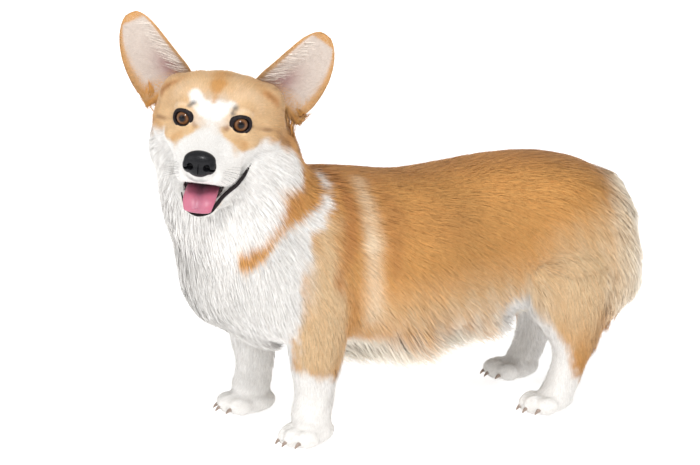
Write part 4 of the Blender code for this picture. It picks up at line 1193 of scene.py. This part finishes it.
def colour_vertices(obj, colours):
    """Stores a colour at each vertex for the material."""
    layer = obj.data.attributes.new("coat", "FLOAT_COLOR", "POINT")
    full = np.ones((len(colours), 4), np.float32)
    full[:, :3] = colours
    layer.data.foreach_set("color", full.ravel())


def vertices_of(mesh):
    """The vertices of a mesh as rows of a numpy array."""
    return rows_of(mesh.vertices, "co", 3)


def normals_of(mesh):
    """The normals at a mesh's vertices as rows of a numpy array."""
    return rows_of(mesh.vertex_normals, "vector", 3)


# Fur

# What carries no hair, in the head's frame: the nose and the mouth, by centre and radii in mm
BARE_SPOTS = (
    ((0, -58.0, -25.5), (16.5, 11.5, 12.0)),
    ((0, -24, -57), (17.0, 34, 11.5)),
)
# In mm too: the lids' half width and half height, the lip's radius, and how near an ear's sheet is its own;
# and in metres how high the pads reach
BARE_LIDS = (10.0, 8.2)
BARE_LIP = 2.2
BARE_EAR = 6
BARE_PADS = 0.0022


def bare(points):
    """Which points carry none of the body's hair: the nose, mouth, lids, lip, pads and ears."""
    head = in_head(points)
    none = points[:, 2] < BARE_PADS
    for centre, radii in BARE_SPOTS:
        none |= np.linalg.norm((head - centre) / radii, axis=1) < 1
    for side in (1, -1):
        place = np.array(eye_place(side).inverted())
        local = (points @ place[:3, :3].T + place[:3, 3]) * 1000
        flat = np.linalg.norm(local[:, (0, 2)] / BARE_LIDS, axis=1)
        none |= (flat < 1) & (local[:, 1] > -22) & (local[:, 1] < 0)
        height, edge, sheet, _ = on_ear(head, side)
        none |= (height > 0) & (height < 1.2) & (np.abs(edge) < 1.3) & (np.abs(sheet) < BARE_EAR)
    none |= chain_distance(head, [(x, y, z, BARE_LIP) for x, y, z in LOWER_LIP]) < 0
    return none


def scatter(mesh, density, draw):
    """Random roots on a mesh, so many to a square mm, with their normals and places on its unwrap."""
    mesh.calc_loop_triangles()
    corners = rows_of(mesh.loop_triangles, "vertices", 3, np.int64)
    loops = rows_of(mesh.loop_triangles, "loops", 3, np.int64)
    points, normals = vertices_of(mesh), normals_of(mesh)
    spread = rows_of(mesh.uv_layers["OFBake"].data, "uv", 2)
    a, b, c = (points[corners[:, k]] for k in range(3))
    area = np.linalg.norm(np.cross(b - a, c - a), axis=1) / 2 * 1e6
    wanted = area * density((a + b + c) / 3)
    total = int(wanted.sum())
    chosen = np.searchsorted(np.cumsum(wanted), draw.uniform(0, wanted.sum(), total))
    chosen = np.minimum(chosen, len(corners) - 1)
    u, v = draw.uniform(size=(2, total))
    flip = u + v > 1
    u, v = np.where(flip, 1 - u, u), np.where(flip, 1 - v, v)
    w = np.stack([1 - u - v, u, v], 1)
    roots = sum(w[:, k, None] * points[corners[chosen, k]] for k in range(3))
    facing = sum(w[:, k, None] * normals[corners[chosen, k]] for k in range(3))
    facing /= np.linalg.norm(facing, axis=1, keepdims=True)
    unwrapped = sum(w[:, k, None] * spread[loops[chosen, k]] for k in range(3))
    return roots, facing, unwrapped


def unit(rows):
    """Rows scaled to length one."""
    return rows / np.maximum(np.linalg.norm(rows, axis=1, keepdims=True), 1e-9)


def on_surface(tree, points):
    """The nearest points of a surface, and its normals there."""
    spots = np.empty_like(points)
    normals = np.empty_like(points)
    for k, point in enumerate(points):
        spot, normal, _, _ = tree.find_nearest(point)
        spots[k] = spot
        normals[k] = normal
    return spots, normals


# How tufts vary in length, width and lift, and how much lift more those that hang free have
LENGTHS, WIDTHS, LIFTS = (0.72, 1.15), (0.75, 1.25), (0.45, 1.15)
FREE_LIFT, FREE_LIFT_LIMIT = 0.7, 2
# How much narrower tufts are made than the chart says, and how deep in metres they are rooted
FINENESS = 0.72
ROOT_DEPTH = 0.0009
# How much the lie swirls over the skin and from tuft to tuft, and how tips gather into locks
SWIRL, STRAY, GATHER = 0.14, 0.11, 0.45
# How a blade rolls about its length in degrees, lying or free, and how round its shading is
ROLL, FREE_ROLL, ROUNDING = 20, 65, 0.40
# How tufts vary in brightness and warmth
STRAND, WARMTH = 0.065, 0.03
# The side of a tuft's patch on the unwrap
PATCH = 0.003


def tufts(
    name, tree, roots, normals, chart, colours, unwrapped, segments, draw, material, soft=True
):
    """Flat tapered blades that leave the skin at their roots and follow its lie to their tips.

    Without colours they take those of the skin beneath them. Soft ones are shaded much like the skin.
    """
    count = len(roots)
    length = chart["length"] * MM * draw.uniform(*LENGTHS, count)
    width = chart["width"] * FINENESS * MM * draw.uniform(*WIDTHS, count)
    lift = chart["lift"] * MM * draw.uniform(*LIFTS, count)
    lift *= 1 + chart["free"] * np.minimum(draw.exponential(FREE_LIFT, count), FREE_LIFT_LIMIT)
    lie = chart["lie"] - (chart["lie"] * normals).sum(1, keepdims=True) * normals
    lie = unit(lie)
    side = np.cross(normals, lie)
    swirl = SWIRL * waves(roots, 0.035, 11) + draw.normal(0, STRAY, count)
    lie = unit(lie + side * swirl[:, None])
    side = np.cross(normals, lie)
    spots, spot_normals = on_surface(tree, roots + lie * length[:, None])
    end_lie = unit(lie - (lie * spot_normals).sum(1, keepdims=True) * spot_normals)
    tips = spots + spot_normals * lift[:, None]
    hung = roots + (unit(chart["lie"]) * 0.92 + normals * 0.12) * length[:, None]
    hung = hung + normals * lift[:, None] * 0.3
    free = chart["free"][:, None]
    tips = tips * (1 - free) + hung * free
    gathered = chart["gather"][:, None] * chart["pull"] * GATHER
    tips = tips + gathered - (gathered * spot_normals).sum(1, keepdims=True) * spot_normals
    rise = (lift / np.maximum(length, 1e-6))[:, None]
    leave = unit(lie + normals * (0.25 + 1.4 * rise)) * length[:, None]
    arrive = unit(end_lie + spot_normals * 0.25 * rise) * length[:, None]
    start = roots - normals * ROOT_DEPTH
    turn = np.radians(draw.uniform(-1, 1, count) * (ROLL + FREE_ROLL * chart["free"]))[:, None]
    across = side * np.cos(turn) + normals * np.sin(turn)
    points = np.empty((count, 2 * segments + 1, 3))
    shades = np.empty((count, 2 * segments + 1, 3))
    facings = np.empty((count, 2 * segments + 1, 3))
    own = colours is None
    if own:
        colours = paint(roots * 0.5 + spots * 0.5)
    pale = colours.mean(1, keepdims=True)
    # Painted shade deep in the coat: each tuft is darker at its root, less so for pale hair, and grows a
    # little lighter towards its tip
    root_shade = 0.76 + 0.18 * np.clip((pale - 0.3) / 0.5, 0, 1)
    strand = draw.normal(1, STRAND, (count, 1))
    warm = draw.normal(0, WARMTH, (count, 1)) * np.array((1, 0, -1))
    warm *= 1 - np.clip((pale - 0.45) / 0.3, 0, 0.85)
    for k in range(segments + 1):
        s = k / segments
        h00, h10 = 2 * s**3 - 3 * s**2 + 1, s**3 - 2 * s**2 + s
        h01, h11 = -2 * s**3 + 3 * s**2, s**3 - s**2
        centre = h00 * start + h10 * leave + h01 * tips + h11 * arrive
        tone = root_shade + (1.03 - root_shade) * s**0.7
        reach = 0.25 + 0.75 * s
        ground = paint(roots * (1 - reach) + spots * reach) if own else colours
        shade = ground * tone * strand * (1 + warm)
        skin_way = unit(normals * (1 - s) + spot_normals * s)
        d00, d10 = 6 * s**2 - 6 * s, 3 * s**2 - 4 * s + 1
        d01, d11 = -6 * s**2 + 6 * s, 3 * s**2 - 2 * s
        onward = d00 * start + d10 * leave + d01 * tips + d11 * arrive
        own_way = unit(np.cross(onward, across))
        agree = np.clip((skin_way * own_way).sum(1, keepdims=True), 0, 1) * (1 - free)
        facing = unit(skin_way * agree * 1.6 + own_way * (0.35 + free))
        if k == segments:
            points[:, -1] = centre
            shades[:, -1] = shade
            facings[:, -1] = facing
        else:
            half = (width / 2 * (0.65 + 0.9 * s) * (1 - s) ** 0.55)[:, None]
            points[:, 2 * k] = centre - across * half
            points[:, 2 * k + 1] = centre + across * half
            shades[:, 2 * k] = shades[:, 2 * k + 1] = shade
            facings[:, 2 * k] = unit(facing - across * ROUNDING)
            facings[:, 2 * k + 1] = unit(facing + across * ROUNDING)
    points[:, :, 2] = np.maximum(points[:, :, 2], 0.0004)
    made = blades(name, points, np.clip(shades, 0.002, 0.95), unwrapped, segments, material)
    if soft:
        made.data.normals_split_custom_set_from_vertices(facings.reshape(-1, 3).astype(np.float32))



def blades(name, points, shades, unwrapped, segments, material):
    """One mesh of many blades, each with its patch on the unwrap, shown as a piece."""
    count, per = points.shape[:2]
    first = (np.arange(count) * per)[:, None]
    quads = [(2 * k, 2 * k + 2, 2 * k + 3, 2 * k + 1) for k in range(segments - 1)]
    tip = (2 * segments - 2, 2 * segments, 2 * segments - 1)
    pattern = np.array([corner for quad in quads for corner in quad] + list(tip))
    corners = (first + pattern[None]).ravel()
    sizes = np.tile([4] * len(quads) + [3], count)
    starts = np.concatenate([[0], np.cumsum(sizes)[:-1]])
    mesh = bpy.data.meshes.new(name)
    mesh.vertices.add(count * per)
    mesh.vertices.foreach_set("co", points.ravel())
    mesh.loops.add(len(corners))
    mesh.loops.foreach_set("vertex_index", corners)
    mesh.polygons.add(len(sizes))
    mesh.polygons.foreach_set("loop_start", starts)
    mesh.update(calc_edges=True)
    across = np.array([0.0, 1.0] * segments + [0.5])
    along = np.array([k / segments for k in range(segments) for _ in (0, 1)] + [1.0])
    patch = np.stack([across, along], 1)[pattern] * PATCH
    spread = (unwrapped[:, None] + patch[None] - PATCH / 2).reshape(-1, 2)
    layer = mesh.uv_layers.new(name="OFBake")
    layer.data.foreach_set("uv", np.clip(spread, 0, 1).ravel())
    obj = new_object(name, mesh)
    colour_vertices(obj, shades.reshape(-1, 3))
    return show(obj, name, material)


def pulls(roots, locks, draw):
    """For each root the way to the middle of its lock, so that tips gather into points."""
    seeds = roots[draw.choice(len(roots), max(1, int(len(roots) * locks)), replace=False)]
    tree = KDTree(len(seeds))
    for index, seed in enumerate(seeds):
        tree.insert(seed, index)
    tree.balance()
    return np.array([seeds[tree.find(root)[1]] for root in roots]) - roots


# Tufts to a square mm and the segments of each, by region, and how many locks there are to a tuft
DENSITY = {
    "face": (1.55, 2),
    "cheek": (0.85, 3),
    "crown": (0.95, 2),
    "bib": (0.72, 4),
    "neck": (0.62, 3),
    "back": (0.85, 2),
    "shoulder": (0.75, 3),
    "flank": (0.85, 2),
    "belly": (0.65, 3),
    "thigh": (0.75, 3),
    "breeches": (0.95, 4),
    "foreleg": (0.85, 2),
    "hindleg": (0.80, 2),
}
LOCKS = 0.035
# A piece of coat with fewer tufts than this isn't made
FEWEST = 50


def unwrap(obj):
    """Lays the skin out flat in the map that skin and coat are baked on."""
    obj.data.uv_layers.new(name="OFBake")
    for other in bpy.context.view_layer.objects:
        other.select_set(False)
    obj.select_set(True)
    bpy.context.view_layer.objects.active = obj
    bpy.ops.object.mode_set(mode="EDIT")
    bpy.ops.mesh.select_all(action="SELECT")
    bpy.ops.uv.smart_project(angle_limit=math.radians(66), island_margin=0.004)
    bpy.ops.object.mode_set(mode="OBJECT")
    obj.select_set(False)


def coat(skin, thin):
    """All the fur of the body and head, in a piece for each region and side."""
    draw = np.random.default_rng(SEED)
    tree = tree_of(skin)

    def density(points):
        regions = GROOMING.read(points)["region"]
        values = np.array([DENSITY[region][0] for region in regions])
        values[bare(points)] = 0
        return values * thin

    roots, normals, unwrapped = scatter(skin.data, density, draw)
    keep = ~bare(roots)
    roots, normals, unwrapped = roots[keep], normals[keep], unwrapped[keep]
    chart = GROOMING.read(roots)
    hair = coat_material("coat_hair", 0.62, 260.0)
    for region, (_, segments) in DENSITY.items():
        for side, word in ((1, "left"), (-1, "right")):
            here = (roots[:, 0] * side > 0) | ((side > 0) & (roots[:, 0] == 0))
            mine = here & (chart["region"] == region)
            if mine.sum() < FEWEST:
                continue
            own = {key: value[mine] for key, value in chart.items() if key != "region"}
            own["pull"] = pulls(roots[mine], LOCKS, draw)
            name = f"fur_{region}_{word}"
            tufts(name, tree, roots[mine], normals[mine], own, None, unwrapped[mine], segments, draw, hair)


# Ears

# Hairs to a square mm
EAR_DENSITY = 2.2
# The colours inside an ear, in the open and deep in its cup, of the hair and of the skin under it; deep in
# the cup they are pinker where skin shows and darker with painted shade
EAR_HAIR, EAR_HAIR_DEEP_PINK_AND_SHADE = (0.65, 0.575, 0.515), (0.40, 0.20, 0.20)
EAR_SKIN, EAR_SKIN_DEEP_PINK_AND_SHADE = (0.65, 0.56, 0.50), (0.34, 0.15, 0.155)
EAR_TAN = np.array(SANDY) * (1.0, 0.88, 0.75)
EAR_STRAND = (0.88, 0.80, 0.72)
# The share of the hairs at the ear's front edge that have a long strand beside them
STRANDS = 0.13


def cup_depth(height, edge, reach):
    """How deep in the ear's cup points are, from 0 to 1, where reach is how far up the ear that goes."""
    return np.exp(-(((edge + 0.30) / 0.42) ** 2) - ((height - 0.12) / reach) ** 2)


def ear_hair_colours(roots, height, edge, outside):
    """Tan outside the ear and round its rim, pale inside, and deep in the cup pinker and darker with painted
    shade.
    """
    rim = np.clip(np.where(edge > 0, edge - 0.56, -edge - 0.72) / 0.24, 0, 1)
    rim = np.maximum(rim, np.clip((height - 0.84) / 0.12, 0, 1))
    rim = np.maximum(rim, np.clip((0.12 - height) / 0.12, 0, 1))
    inside = blend(EAR_HAIR, EAR_HAIR_DEEP_PINK_AND_SHADE, cup_depth(height, edge, 0.24) * 0.75)
    back = EAR_TAN * (1 + 0.08 * waves(roots, 0.02, 8))[:, None]
    return np.where(outside[:, None], back, blend(inside, EAR_TAN, rim))


def ear_coat(thin):
    """Velvet outside both ears, fine pale hair inside, and long strands across the cup."""
    draw = np.random.default_rng(SEED + 1)
    hair = coat_material("ear_hair", 0.6, 300.0)
    axis, sideways, turned = np.array(EAR_AXIS), np.array(EAR_SIDEWAYS), np.array(HEAD.to_3x3())
    slope = np.gradient([row[1] / 2 for row in EAR_WIDTHS], [row[0] for row in EAR_WIDTHS])
    for side, word in ((1, "left"), (-1, "right")):
        flap = ear(side)
        tree = tree_of(flap)
        unwrap(flap)
        roots, normals, unwrapped = scatter(flap.data, lambda p: np.full(len(p), EAR_DENSITY * thin), draw)
        facing = normals @ turned * (side, 1, 1)
        height, edge, _, behind = on_ear(in_head(roots), side)
        outside = (facing * behind).sum(1) > 0
        along_rim = outside | (np.abs(edge) > 0.80) | (height > 0.88)
        narrowing = np.interp(height, [row[0] for row in EAR_WIDTHS], slope) / (EAR_TIP - EAR_BASE).length
        to_tip = axis[None] + sideways[None] * (edge * narrowing)[:, None]
        heading = np.where(along_rim[:, None], to_tip, sideways * 0.85 + axis * 0.75)
        chart = {
            "length": np.where(along_rim, 4.0, 5.0),
            "width": np.where(outside, 0.55, 0.5),
            "lift": np.where(along_rim, 0.35, 0.5),
            "free": np.zeros(len(roots)),
            "gather": np.zeros(len(roots)),
            "lie": unit((heading * (side, 1, 1)) @ turned.T),
            "pull": np.zeros((len(roots), 3)),
        }
        keep = height > -0.10
        chart = {key: value[keep] for key, value in chart.items()}
        colours = ear_hair_colours(roots, height, edge, outside)[keep]
        name = f"fur_ear_{word}"
        tufts(name, tree, roots[keep], normals[keep], chart, colours, unwrapped[keep], 2, draw, hair)
        strands = ~outside & (height > 0.02) & (height < 0.8) & (edge < -0.35) & (edge > -0.92)
        strands &= draw.uniform(size=len(roots)) < STRANDS
        count = int(strands.sum())
        across = ((sideways * 0.95 + axis * 0.55)[None] * (side, 1, 1)) @ turned.T
        chart = {
            "length": draw.uniform(14, 26, count),
            "width": np.full(count, 0.45),
            "lift": draw.uniform(1.5, 5.0, count),
            "free": np.full(count, 0.35),
            "gather": np.full(count, 0.35),
            "lie": unit(across) * np.ones((count, 1)),
            "pull": pulls(roots[strands], 0.12, draw),
        }
        colours = np.tile(np.array(EAR_STRAND), (count, 1))
        roots, normals, unwrapped = roots[strands], normals[strands], unwrapped[strands]
        name = f"fur_ear_inside_{word}"
        tufts(name, tree, roots, normals, chart, colours, unwrapped, 4, draw, hair, soft=False)
        remove(flap)


# The inside of the mouth, near black: painted shade
MOUTH_SHADE = (0.035, 0.012, 0.012)


def skin_colours(points, normals):
    """The skin wears the coat's markings, but is pink in the ears, darker deep in their cups with painted
    shade, and near black with painted shade in the mouth's hollow.
    """
    colours = paint(points)
    head = in_head(points)
    facing = normals @ np.array(HEAD.to_3x3())
    for side in (1, -1):
        height, edge, sheet, behind = on_ear(head, side)
        front = ((facing * (side, 1, 1) * behind).sum(1) < 0) & (np.abs(sheet) < 4.0)
        inside = front & (height > -0.05) & (height < 0.9) & (np.abs(edge) < 0.85)
        # Pink ear skin, darker deep in the cup with painted shade
        pink = blend(EAR_SKIN, EAR_SKIN_DEEP_PINK_AND_SHADE, cup_depth(height, edge, 0.26) * 0.8)
        colours = np.where(inside[:, None], pink, colours)
    centre, radii, _ = MOUTH_HOLLOW
    hollow = np.linalg.norm((head - np.array(centre)) / (np.array(radii) + 1.2), axis=1) < 1.04
    return np.where(hollow[:, None], MOUTH_SHADE, colours)


def build_skin():
    """One closed skin for head, neck, trunk, tail, legs and paws, with the mouth, lids and ears."""
    skin = fuse(joined("skin", body_flesh() + head_flesh()), *SKIN_FUSED)
    sink(skin)
    thin_out(skin, SKIN_TRIANGLES)
    centre, radii, turn = MOUTH_HOLLOW
    boolean(skin, joined("cutter", [mm_ellipsoid(centre, radii, turn, 4)], HEAD), "DIFFERENCE")
    for side in (1, -1):
        boolean(skin, lid_cutter(side), "DIFFERENCE")
        boolean(skin, ear(side), "UNION")
    skin.modifiers.new("triangulate", "TRIANGULATE")
    settle(skin)
    return skin


# Eyes, lids, nose, mouth, claws

# In mm: how much smaller the eyeball is than its solid, and the cornea's radius and rise
EYE_PLAY = 0.15
CORNEA_RADIUS, CORNEA_RISE = 6.8, 0.9
# How far the eyes turn from straight ahead towards the camera, from 0 to 1
GAZE = 0.25
# The lids' black rim: how much larger it is than the opening, and in mm the radius of the ball that it
# lies on and its own thickness
RIM_OPENING, RIM_BALL, RIM_THICKNESS = 1.08, 11.5, 1.9
# More than RIM_INWARD mm towards the nose, it is RIM_EXTRA mm thicker
RIM_INWARD, RIM_EXTRA = 6.5, 0.5
# How wide and how high its section is, as shares of its thickness
RIM_WIDE, RIM_FLAT = 1.25, 0.75


def build_eye(side, material):
    """One eye, its iris turned a little towards the camera."""
    work = bmesh.new()
    bmesh.ops.create_uvsphere(work, u_segments=56, v_segments=40, radius=(EYE_RADIUS - EYE_PLAY) * MM)
    work.transform(Matrix.Rotation(math.radians(90), 4, "X"))
    for vert in work.verts:
        away = math.hypot(vert.co.x, vert.co.z)
        if vert.co.y < 0 and away < CORNEA_RADIUS * MM:
            vert.co.y -= CORNEA_RISE * MM * (1 - (away / (CORNEA_RADIUS * MM)) ** 2) ** 1.2
    layer = work.loops.layers.uv.new("iris")
    for face in work.faces:
        for loop in face.loops:
            spot = loop.vert.co / (IRIS_SCALE * MM)
            loop[layer].uv = (spot.x, spot.z) if spot.y < 0 else (1.0, 0.0)
    place = eye_place(side)
    centre = place.translation
    ahead = place.to_3x3() @ Vector((0, -1, 0))
    gaze = (ahead * (1 - GAZE) + (camera_spot() - centre).normalized() * GAZE).normalized()
    turn = gaze.to_track_quat("Z", "Y").to_matrix().to_4x4() @ Matrix.Rotation(math.radians(-90), 4, "X")
    work.transform(Matrix.Translation(centre) @ turn)
    word = "left" if side > 0 else "right"
    obj = new_object("eye", mesh_of(work, "eye"))
    show(obj, f"eyeball_{word}", material, [f"eye_{word}"])


def camera_spot():
    """Where the camera stands in the animal's frame."""
    a, e = CAMERA_AZIMUTH, CAMERA_ELEVATION
    back = Vector((math.sin(a) * math.cos(e), -math.cos(a) * math.cos(e), math.sin(e)))
    return CAMERA_TARGET + back * CAMERA_DISTANCE


def build_lid_rim(side, material):
    """The black rim of the lids, thicker at the inner corner, laid along the opening."""
    sides = 8
    points = []
    for x, z in almond_points(side, 56, RIM_OPENING):
        points.append(Vector((x, -math.sqrt(max(RIM_BALL**2 - x * x - z * z, 1.0)), z)))
    work = bmesh.new()
    rings = []
    for i, point in enumerate(points):
        tangent = (points[(i + 1) % len(points)] - points[i - 1]).normalized()
        out = point.normalized()
        across = tangent.cross(out).normalized()
        thickness = RIM_THICKNESS + (RIM_EXTRA if point.x * side < -RIM_INWARD else 0)
        ring = []
        for k in range(sides):
            angle = 2 * math.pi * k / sides
            offset = across * math.cos(angle) * RIM_WIDE + out * math.sin(angle) * RIM_FLAT
            ring.append(work.verts.new((point + offset * thickness) * MM))
        rings.append(ring)
    bridge(work, rings, endless=True)
    work.transform(eye_place(side))
    word = "left" if side > 0 else "right"
    obj = new_object("lid rim", mesh_of(work, "lid rim"))
    show(obj, f"lid_rim_{word}", material)


def build_nose(material):
    """The nose leather with its nostrils and the groove between them."""
    meshes = [
        mm_ellipsoid((0, -57.5, -24.0), (15.2, 9.0, 9.5), fineness=4),
        mm_ellipsoid((0, -58.5, -31.0), (11.5, 7.5, 8.5), fineness=4),
        mm_ellipsoid((0, -52, -30), (12.0, 8, 10), fineness=4),
    ]
    meshes += both_sides((9.0, -58.0, -28.5), (7.0, 7.2, 8.0), fineness=4)
    nose = fuse(joined("nose", meshes, HEAD), *NOSE_FUSED)
    for side in (1, -1):
        wing = [
            mm_ellipsoid((side * 7.8, -65.0, -28.8), (3.2, 6.0, 3.5), (0, side * 20, 0)),
            mm_ellipsoid((side * 12.4, -62.5, -30.8), (4.6, 4.5, 1.3), (0, side * 20, side * -25)),
        ]
        boolean(nose, fuse(joined("nostril", wing, HEAD), *NOSTRIL_FUSED), "DIFFERENCE")
    groove = joined("groove", [mm_ellipsoid((0, -68.0, -33.0), (0.8, 4.0, 9.0))], HEAD)
    boolean(nose, groove, "DIFFERENCE")
    show(nose, "nose_leather", material, ["nose"])


def build_lips(material):
    """The black edge of the lower lip, from the left corner of the mouth round to where it tucks in."""
    right = [(-x, y, z) for x, y, z in LOWER_LIP[LIP_TUCKS_IN:-1]]
    rows = catmull([*LOWER_LIP, *reversed(right)], 5)
    points, radii = [], []
    for x, y, z in rows:
        radii.append(np.interp(x, LIP_AT, LIP_RADIUS) * MM)
        points.append(HEAD @ (Vector((x, y, z)) * MM))
    lips = new_object("lips", swept(points, radii, 10, 1.15, HEAD.to_3x3() @ Vector((0, 0.2, 1))))
    show(lips, "lip_edge", material)


# The middle of the tongue's thickness in mm: how far forward, and its height; and its colour and the painted
# shade along its groove and towards the throat
TONGUE_TOP = ((-2, -52), (16, -56.5), (34, -61.5), (45, -66.5), (52, -72))
TONGUE_PINK, TONGUE_SHADE = (0.42, 0.108, 0.17), (0.21, 0.11, 0.15)


def build_tongue(material):
    """The tongue over the lower lip, with a groove along its middle, painted greyer along the groove and
    darker towards the throat as painted shade under the upper lip.
    """
    tongue = joined("tongue", [loft(scaled(TONGUE), steps=8, sides=40, power=2.2, cap=0.9)], HEAD)
    points = in_head(vertices_of(tongue.data))
    across = points[:, 0]
    upper = points[:, 2] > np.interp(-points[:, 1], *zip(*TONGUE_TOP))
    dip = 1.5 * np.exp(-((across / 2.6) ** 2)) - 0.5 * np.exp(-(((np.abs(across) - 8) / 4) ** 2))
    points[:, 2] -= np.where(upper, dip, 0)
    points[:, 1] += np.where(upper, dip * 0.5, 0)
    tongue.data.vertices.foreach_set("co", from_head(points).ravel())
    middle = np.exp(-((across / 6.0) ** 2))
    back = np.clip((points[:, 1] + 44) / 18, 0, 1)
    # Painted shade: greyer along the groove, and darker towards the throat where the upper lip covers it
    colours = blend(TONGUE_PINK, TONGUE_SHADE, 0.75 * middle * (0.35 + 0.65 * back))
    colours = colours * (1 - 0.75 * np.clip((points[:, 1] + 34) / 14, 0, 1)[:, None])
    colour_vertices(tongue, colours)
    show(tongue, "tongue_flesh", material, ["tongue"])


def build_claws(material):
    """Four claws on each paw."""
    meshes = []
    for name in PAWS:
        place = paw_matrix(name)
        for across, along, height, _, ry, _ in TOES:
            steps = [k / 6 for k in range(7)]
            toe_end = Vector((across * 1.02, along - ry + 4.5, height - 2.2))
            points = [place @ ((toe_end - Vector((0, 6.0 * t, 4.4 * t * t))) * MM) for t in steps]
            radii = [(1.8 * (1 - t) ** 0.6 + 0.35) * MM for t in steps]
            meshes.append(swept(points, radii, 8, 1.15))
    show(joined("claws", meshes), "claws", material)


# How far in mm the end of a whisker bends back and down
WHISKER_DROOP = Vector((0, 2.0, -3.0))


def build_whiskers(material):
    """Three rows of four stiff, dark whiskers on each lip pad."""
    draw = np.random.default_rng(SEED + 2)
    meshes = []
    for side in (1, -1):
        for row in range(3):
            for k in range(4):
                start = Vector((side * (15 + 2.2 * k), -47 + 6.0 * k, -36 - 3.2 * row))
                fall = -0.18 * row + draw.uniform(-0.12, 0.12)
                way = Vector((side * (0.9 + 0.1 * k), 0.25 + 0.1 * k, fall)).normalized()
                reach = way * draw.uniform(15, 27)
                steps = [j / 5 for j in range(6)]
                points = [HEAD @ ((start + reach * t + WHISKER_DROOP * t * t) * MM) for t in steps]
                meshes.append(swept(points, [(0.11 * (1 - t) + 0.02) * MM for t in steps], 5))
    show(joined("whiskers", meshes), "whiskers", material)


# Stage

# The floor's radius in metres, its colour and its glow, the glow of the white sky, and the lamps: name,
# place and size in metres, and power in watts
FLOOR_RADIUS, FLOOR_COLOUR, FLOOR_GLOW = 9.0, (0.90, 0.90, 0.91), 0.52
SKY_GLOW = 0.76
LAMPS = (
    ("key", (2.0, -0.75, 2.3), 0.65, 56),
    ("fill", (0.5, -2.6, 1.5), 1.8, 18),
)
LAMPS_AIM = Vector((0, -0.05, 0.22))


def build_stage():
    """A plain pale floor under plain soft light, and the camera where the photograph was taken."""
    work = bmesh.new()
    bmesh.ops.create_circle(work, cap_ends=True, segments=96, radius=FLOOR_RADIUS)
    floor_mesh = bpy.data.meshes.new("floor")
    work.to_mesh(floor_mesh)
    work.free()
    floor = new_object("floor", floor_mesh)
    glow = {"Emission_Color": (1, 1, 1, 1), "Emission_Strength": FLOOR_GLOW}
    material, _ = shader_of("floor", FLOOR_COLOUR, 0.9, **glow)
    floor.data.materials.append(material)
    world = bpy.data.worlds.new("studio")
    bpy.context.scene.world = world
    world.use_nodes = True
    sky = world.node_tree.nodes["Background"]
    sky.inputs["Color"].default_value = (1.0, 1.0, 1.0, 1)
    sky.inputs["Strength"].default_value = SKY_GLOW
    for name, spot, size, power in LAMPS:
        light = bpy.data.lights.new(name, "AREA")
        light.energy = power
        light.size = size
        lamp = bpy.data.objects.new(name, light)
        lamp.location = Vector(spot) + PLACE
        lamp.rotation_mode = "QUATERNION"
        aim = LAMPS_AIM + PLACE - lamp.location
        lamp.rotation_quaternion = (-aim).to_track_quat("Z", "Y")
        bpy.context.scene.collection.objects.link(lamp)
    camera = bpy.data.objects.new("camera", bpy.data.cameras.new("camera"))
    camera.data.lens = CAMERA_LENS
    camera.data.sensor_width = CAMERA_SENSOR
    camera.location = camera_spot() + PLACE
    camera.rotation_mode = "QUATERNION"
    camera.rotation_quaternion = (camera_spot() - CAMERA_TARGET).to_track_quat("Z", "Y")
    bpy.context.scene.collection.objects.link(camera)
    bpy.context.scene.camera = camera
    bpy.context.scene.view_settings.view_transform = "Standard"


FLESH_NODES = [
    "head", "jaw", "ear_left", "ear_right", "neck", "torso", "tail",
    "front_leg_left", "front_leg_right", "front_paw_left", "front_paw_right",
    "hind_leg_left", "hind_leg_right", "hind_paw_left", "hind_paw_right",
]


# The skin wears the coat's colours this much darker: painted shade under the hair
SKIN_SHADE = 0.9


def build():
    """Every piece of the animal, then the stage."""
    skin = build_skin()
    unwrap(skin)
    colours = skin_colours(vertices_of(skin.data), normals_of(skin.data))
    colour_vertices(skin, colours * SKIN_SHADE)
    thin = 1.0
    coat(skin, thin)
    ear_coat(thin)
    show(skin, "skin", coat_material("skin_coat", 0.7, 420.0), FLESH_NODES)
    dark = lip_material()
    eye = eye_material()
    for side in (1, -1):
        build_eye(side, eye)
        build_lid_rim(side, dark)
    build_nose(leather_material())
    build_lips(dark)
    build_tongue(tongue_material())
    build_claws(horn_material())
    whisker, _ = shader_of("whisker", (0.05, 0.045, 0.045), 0.4)
    build_whiskers(whisker)
    build_stage()


build()
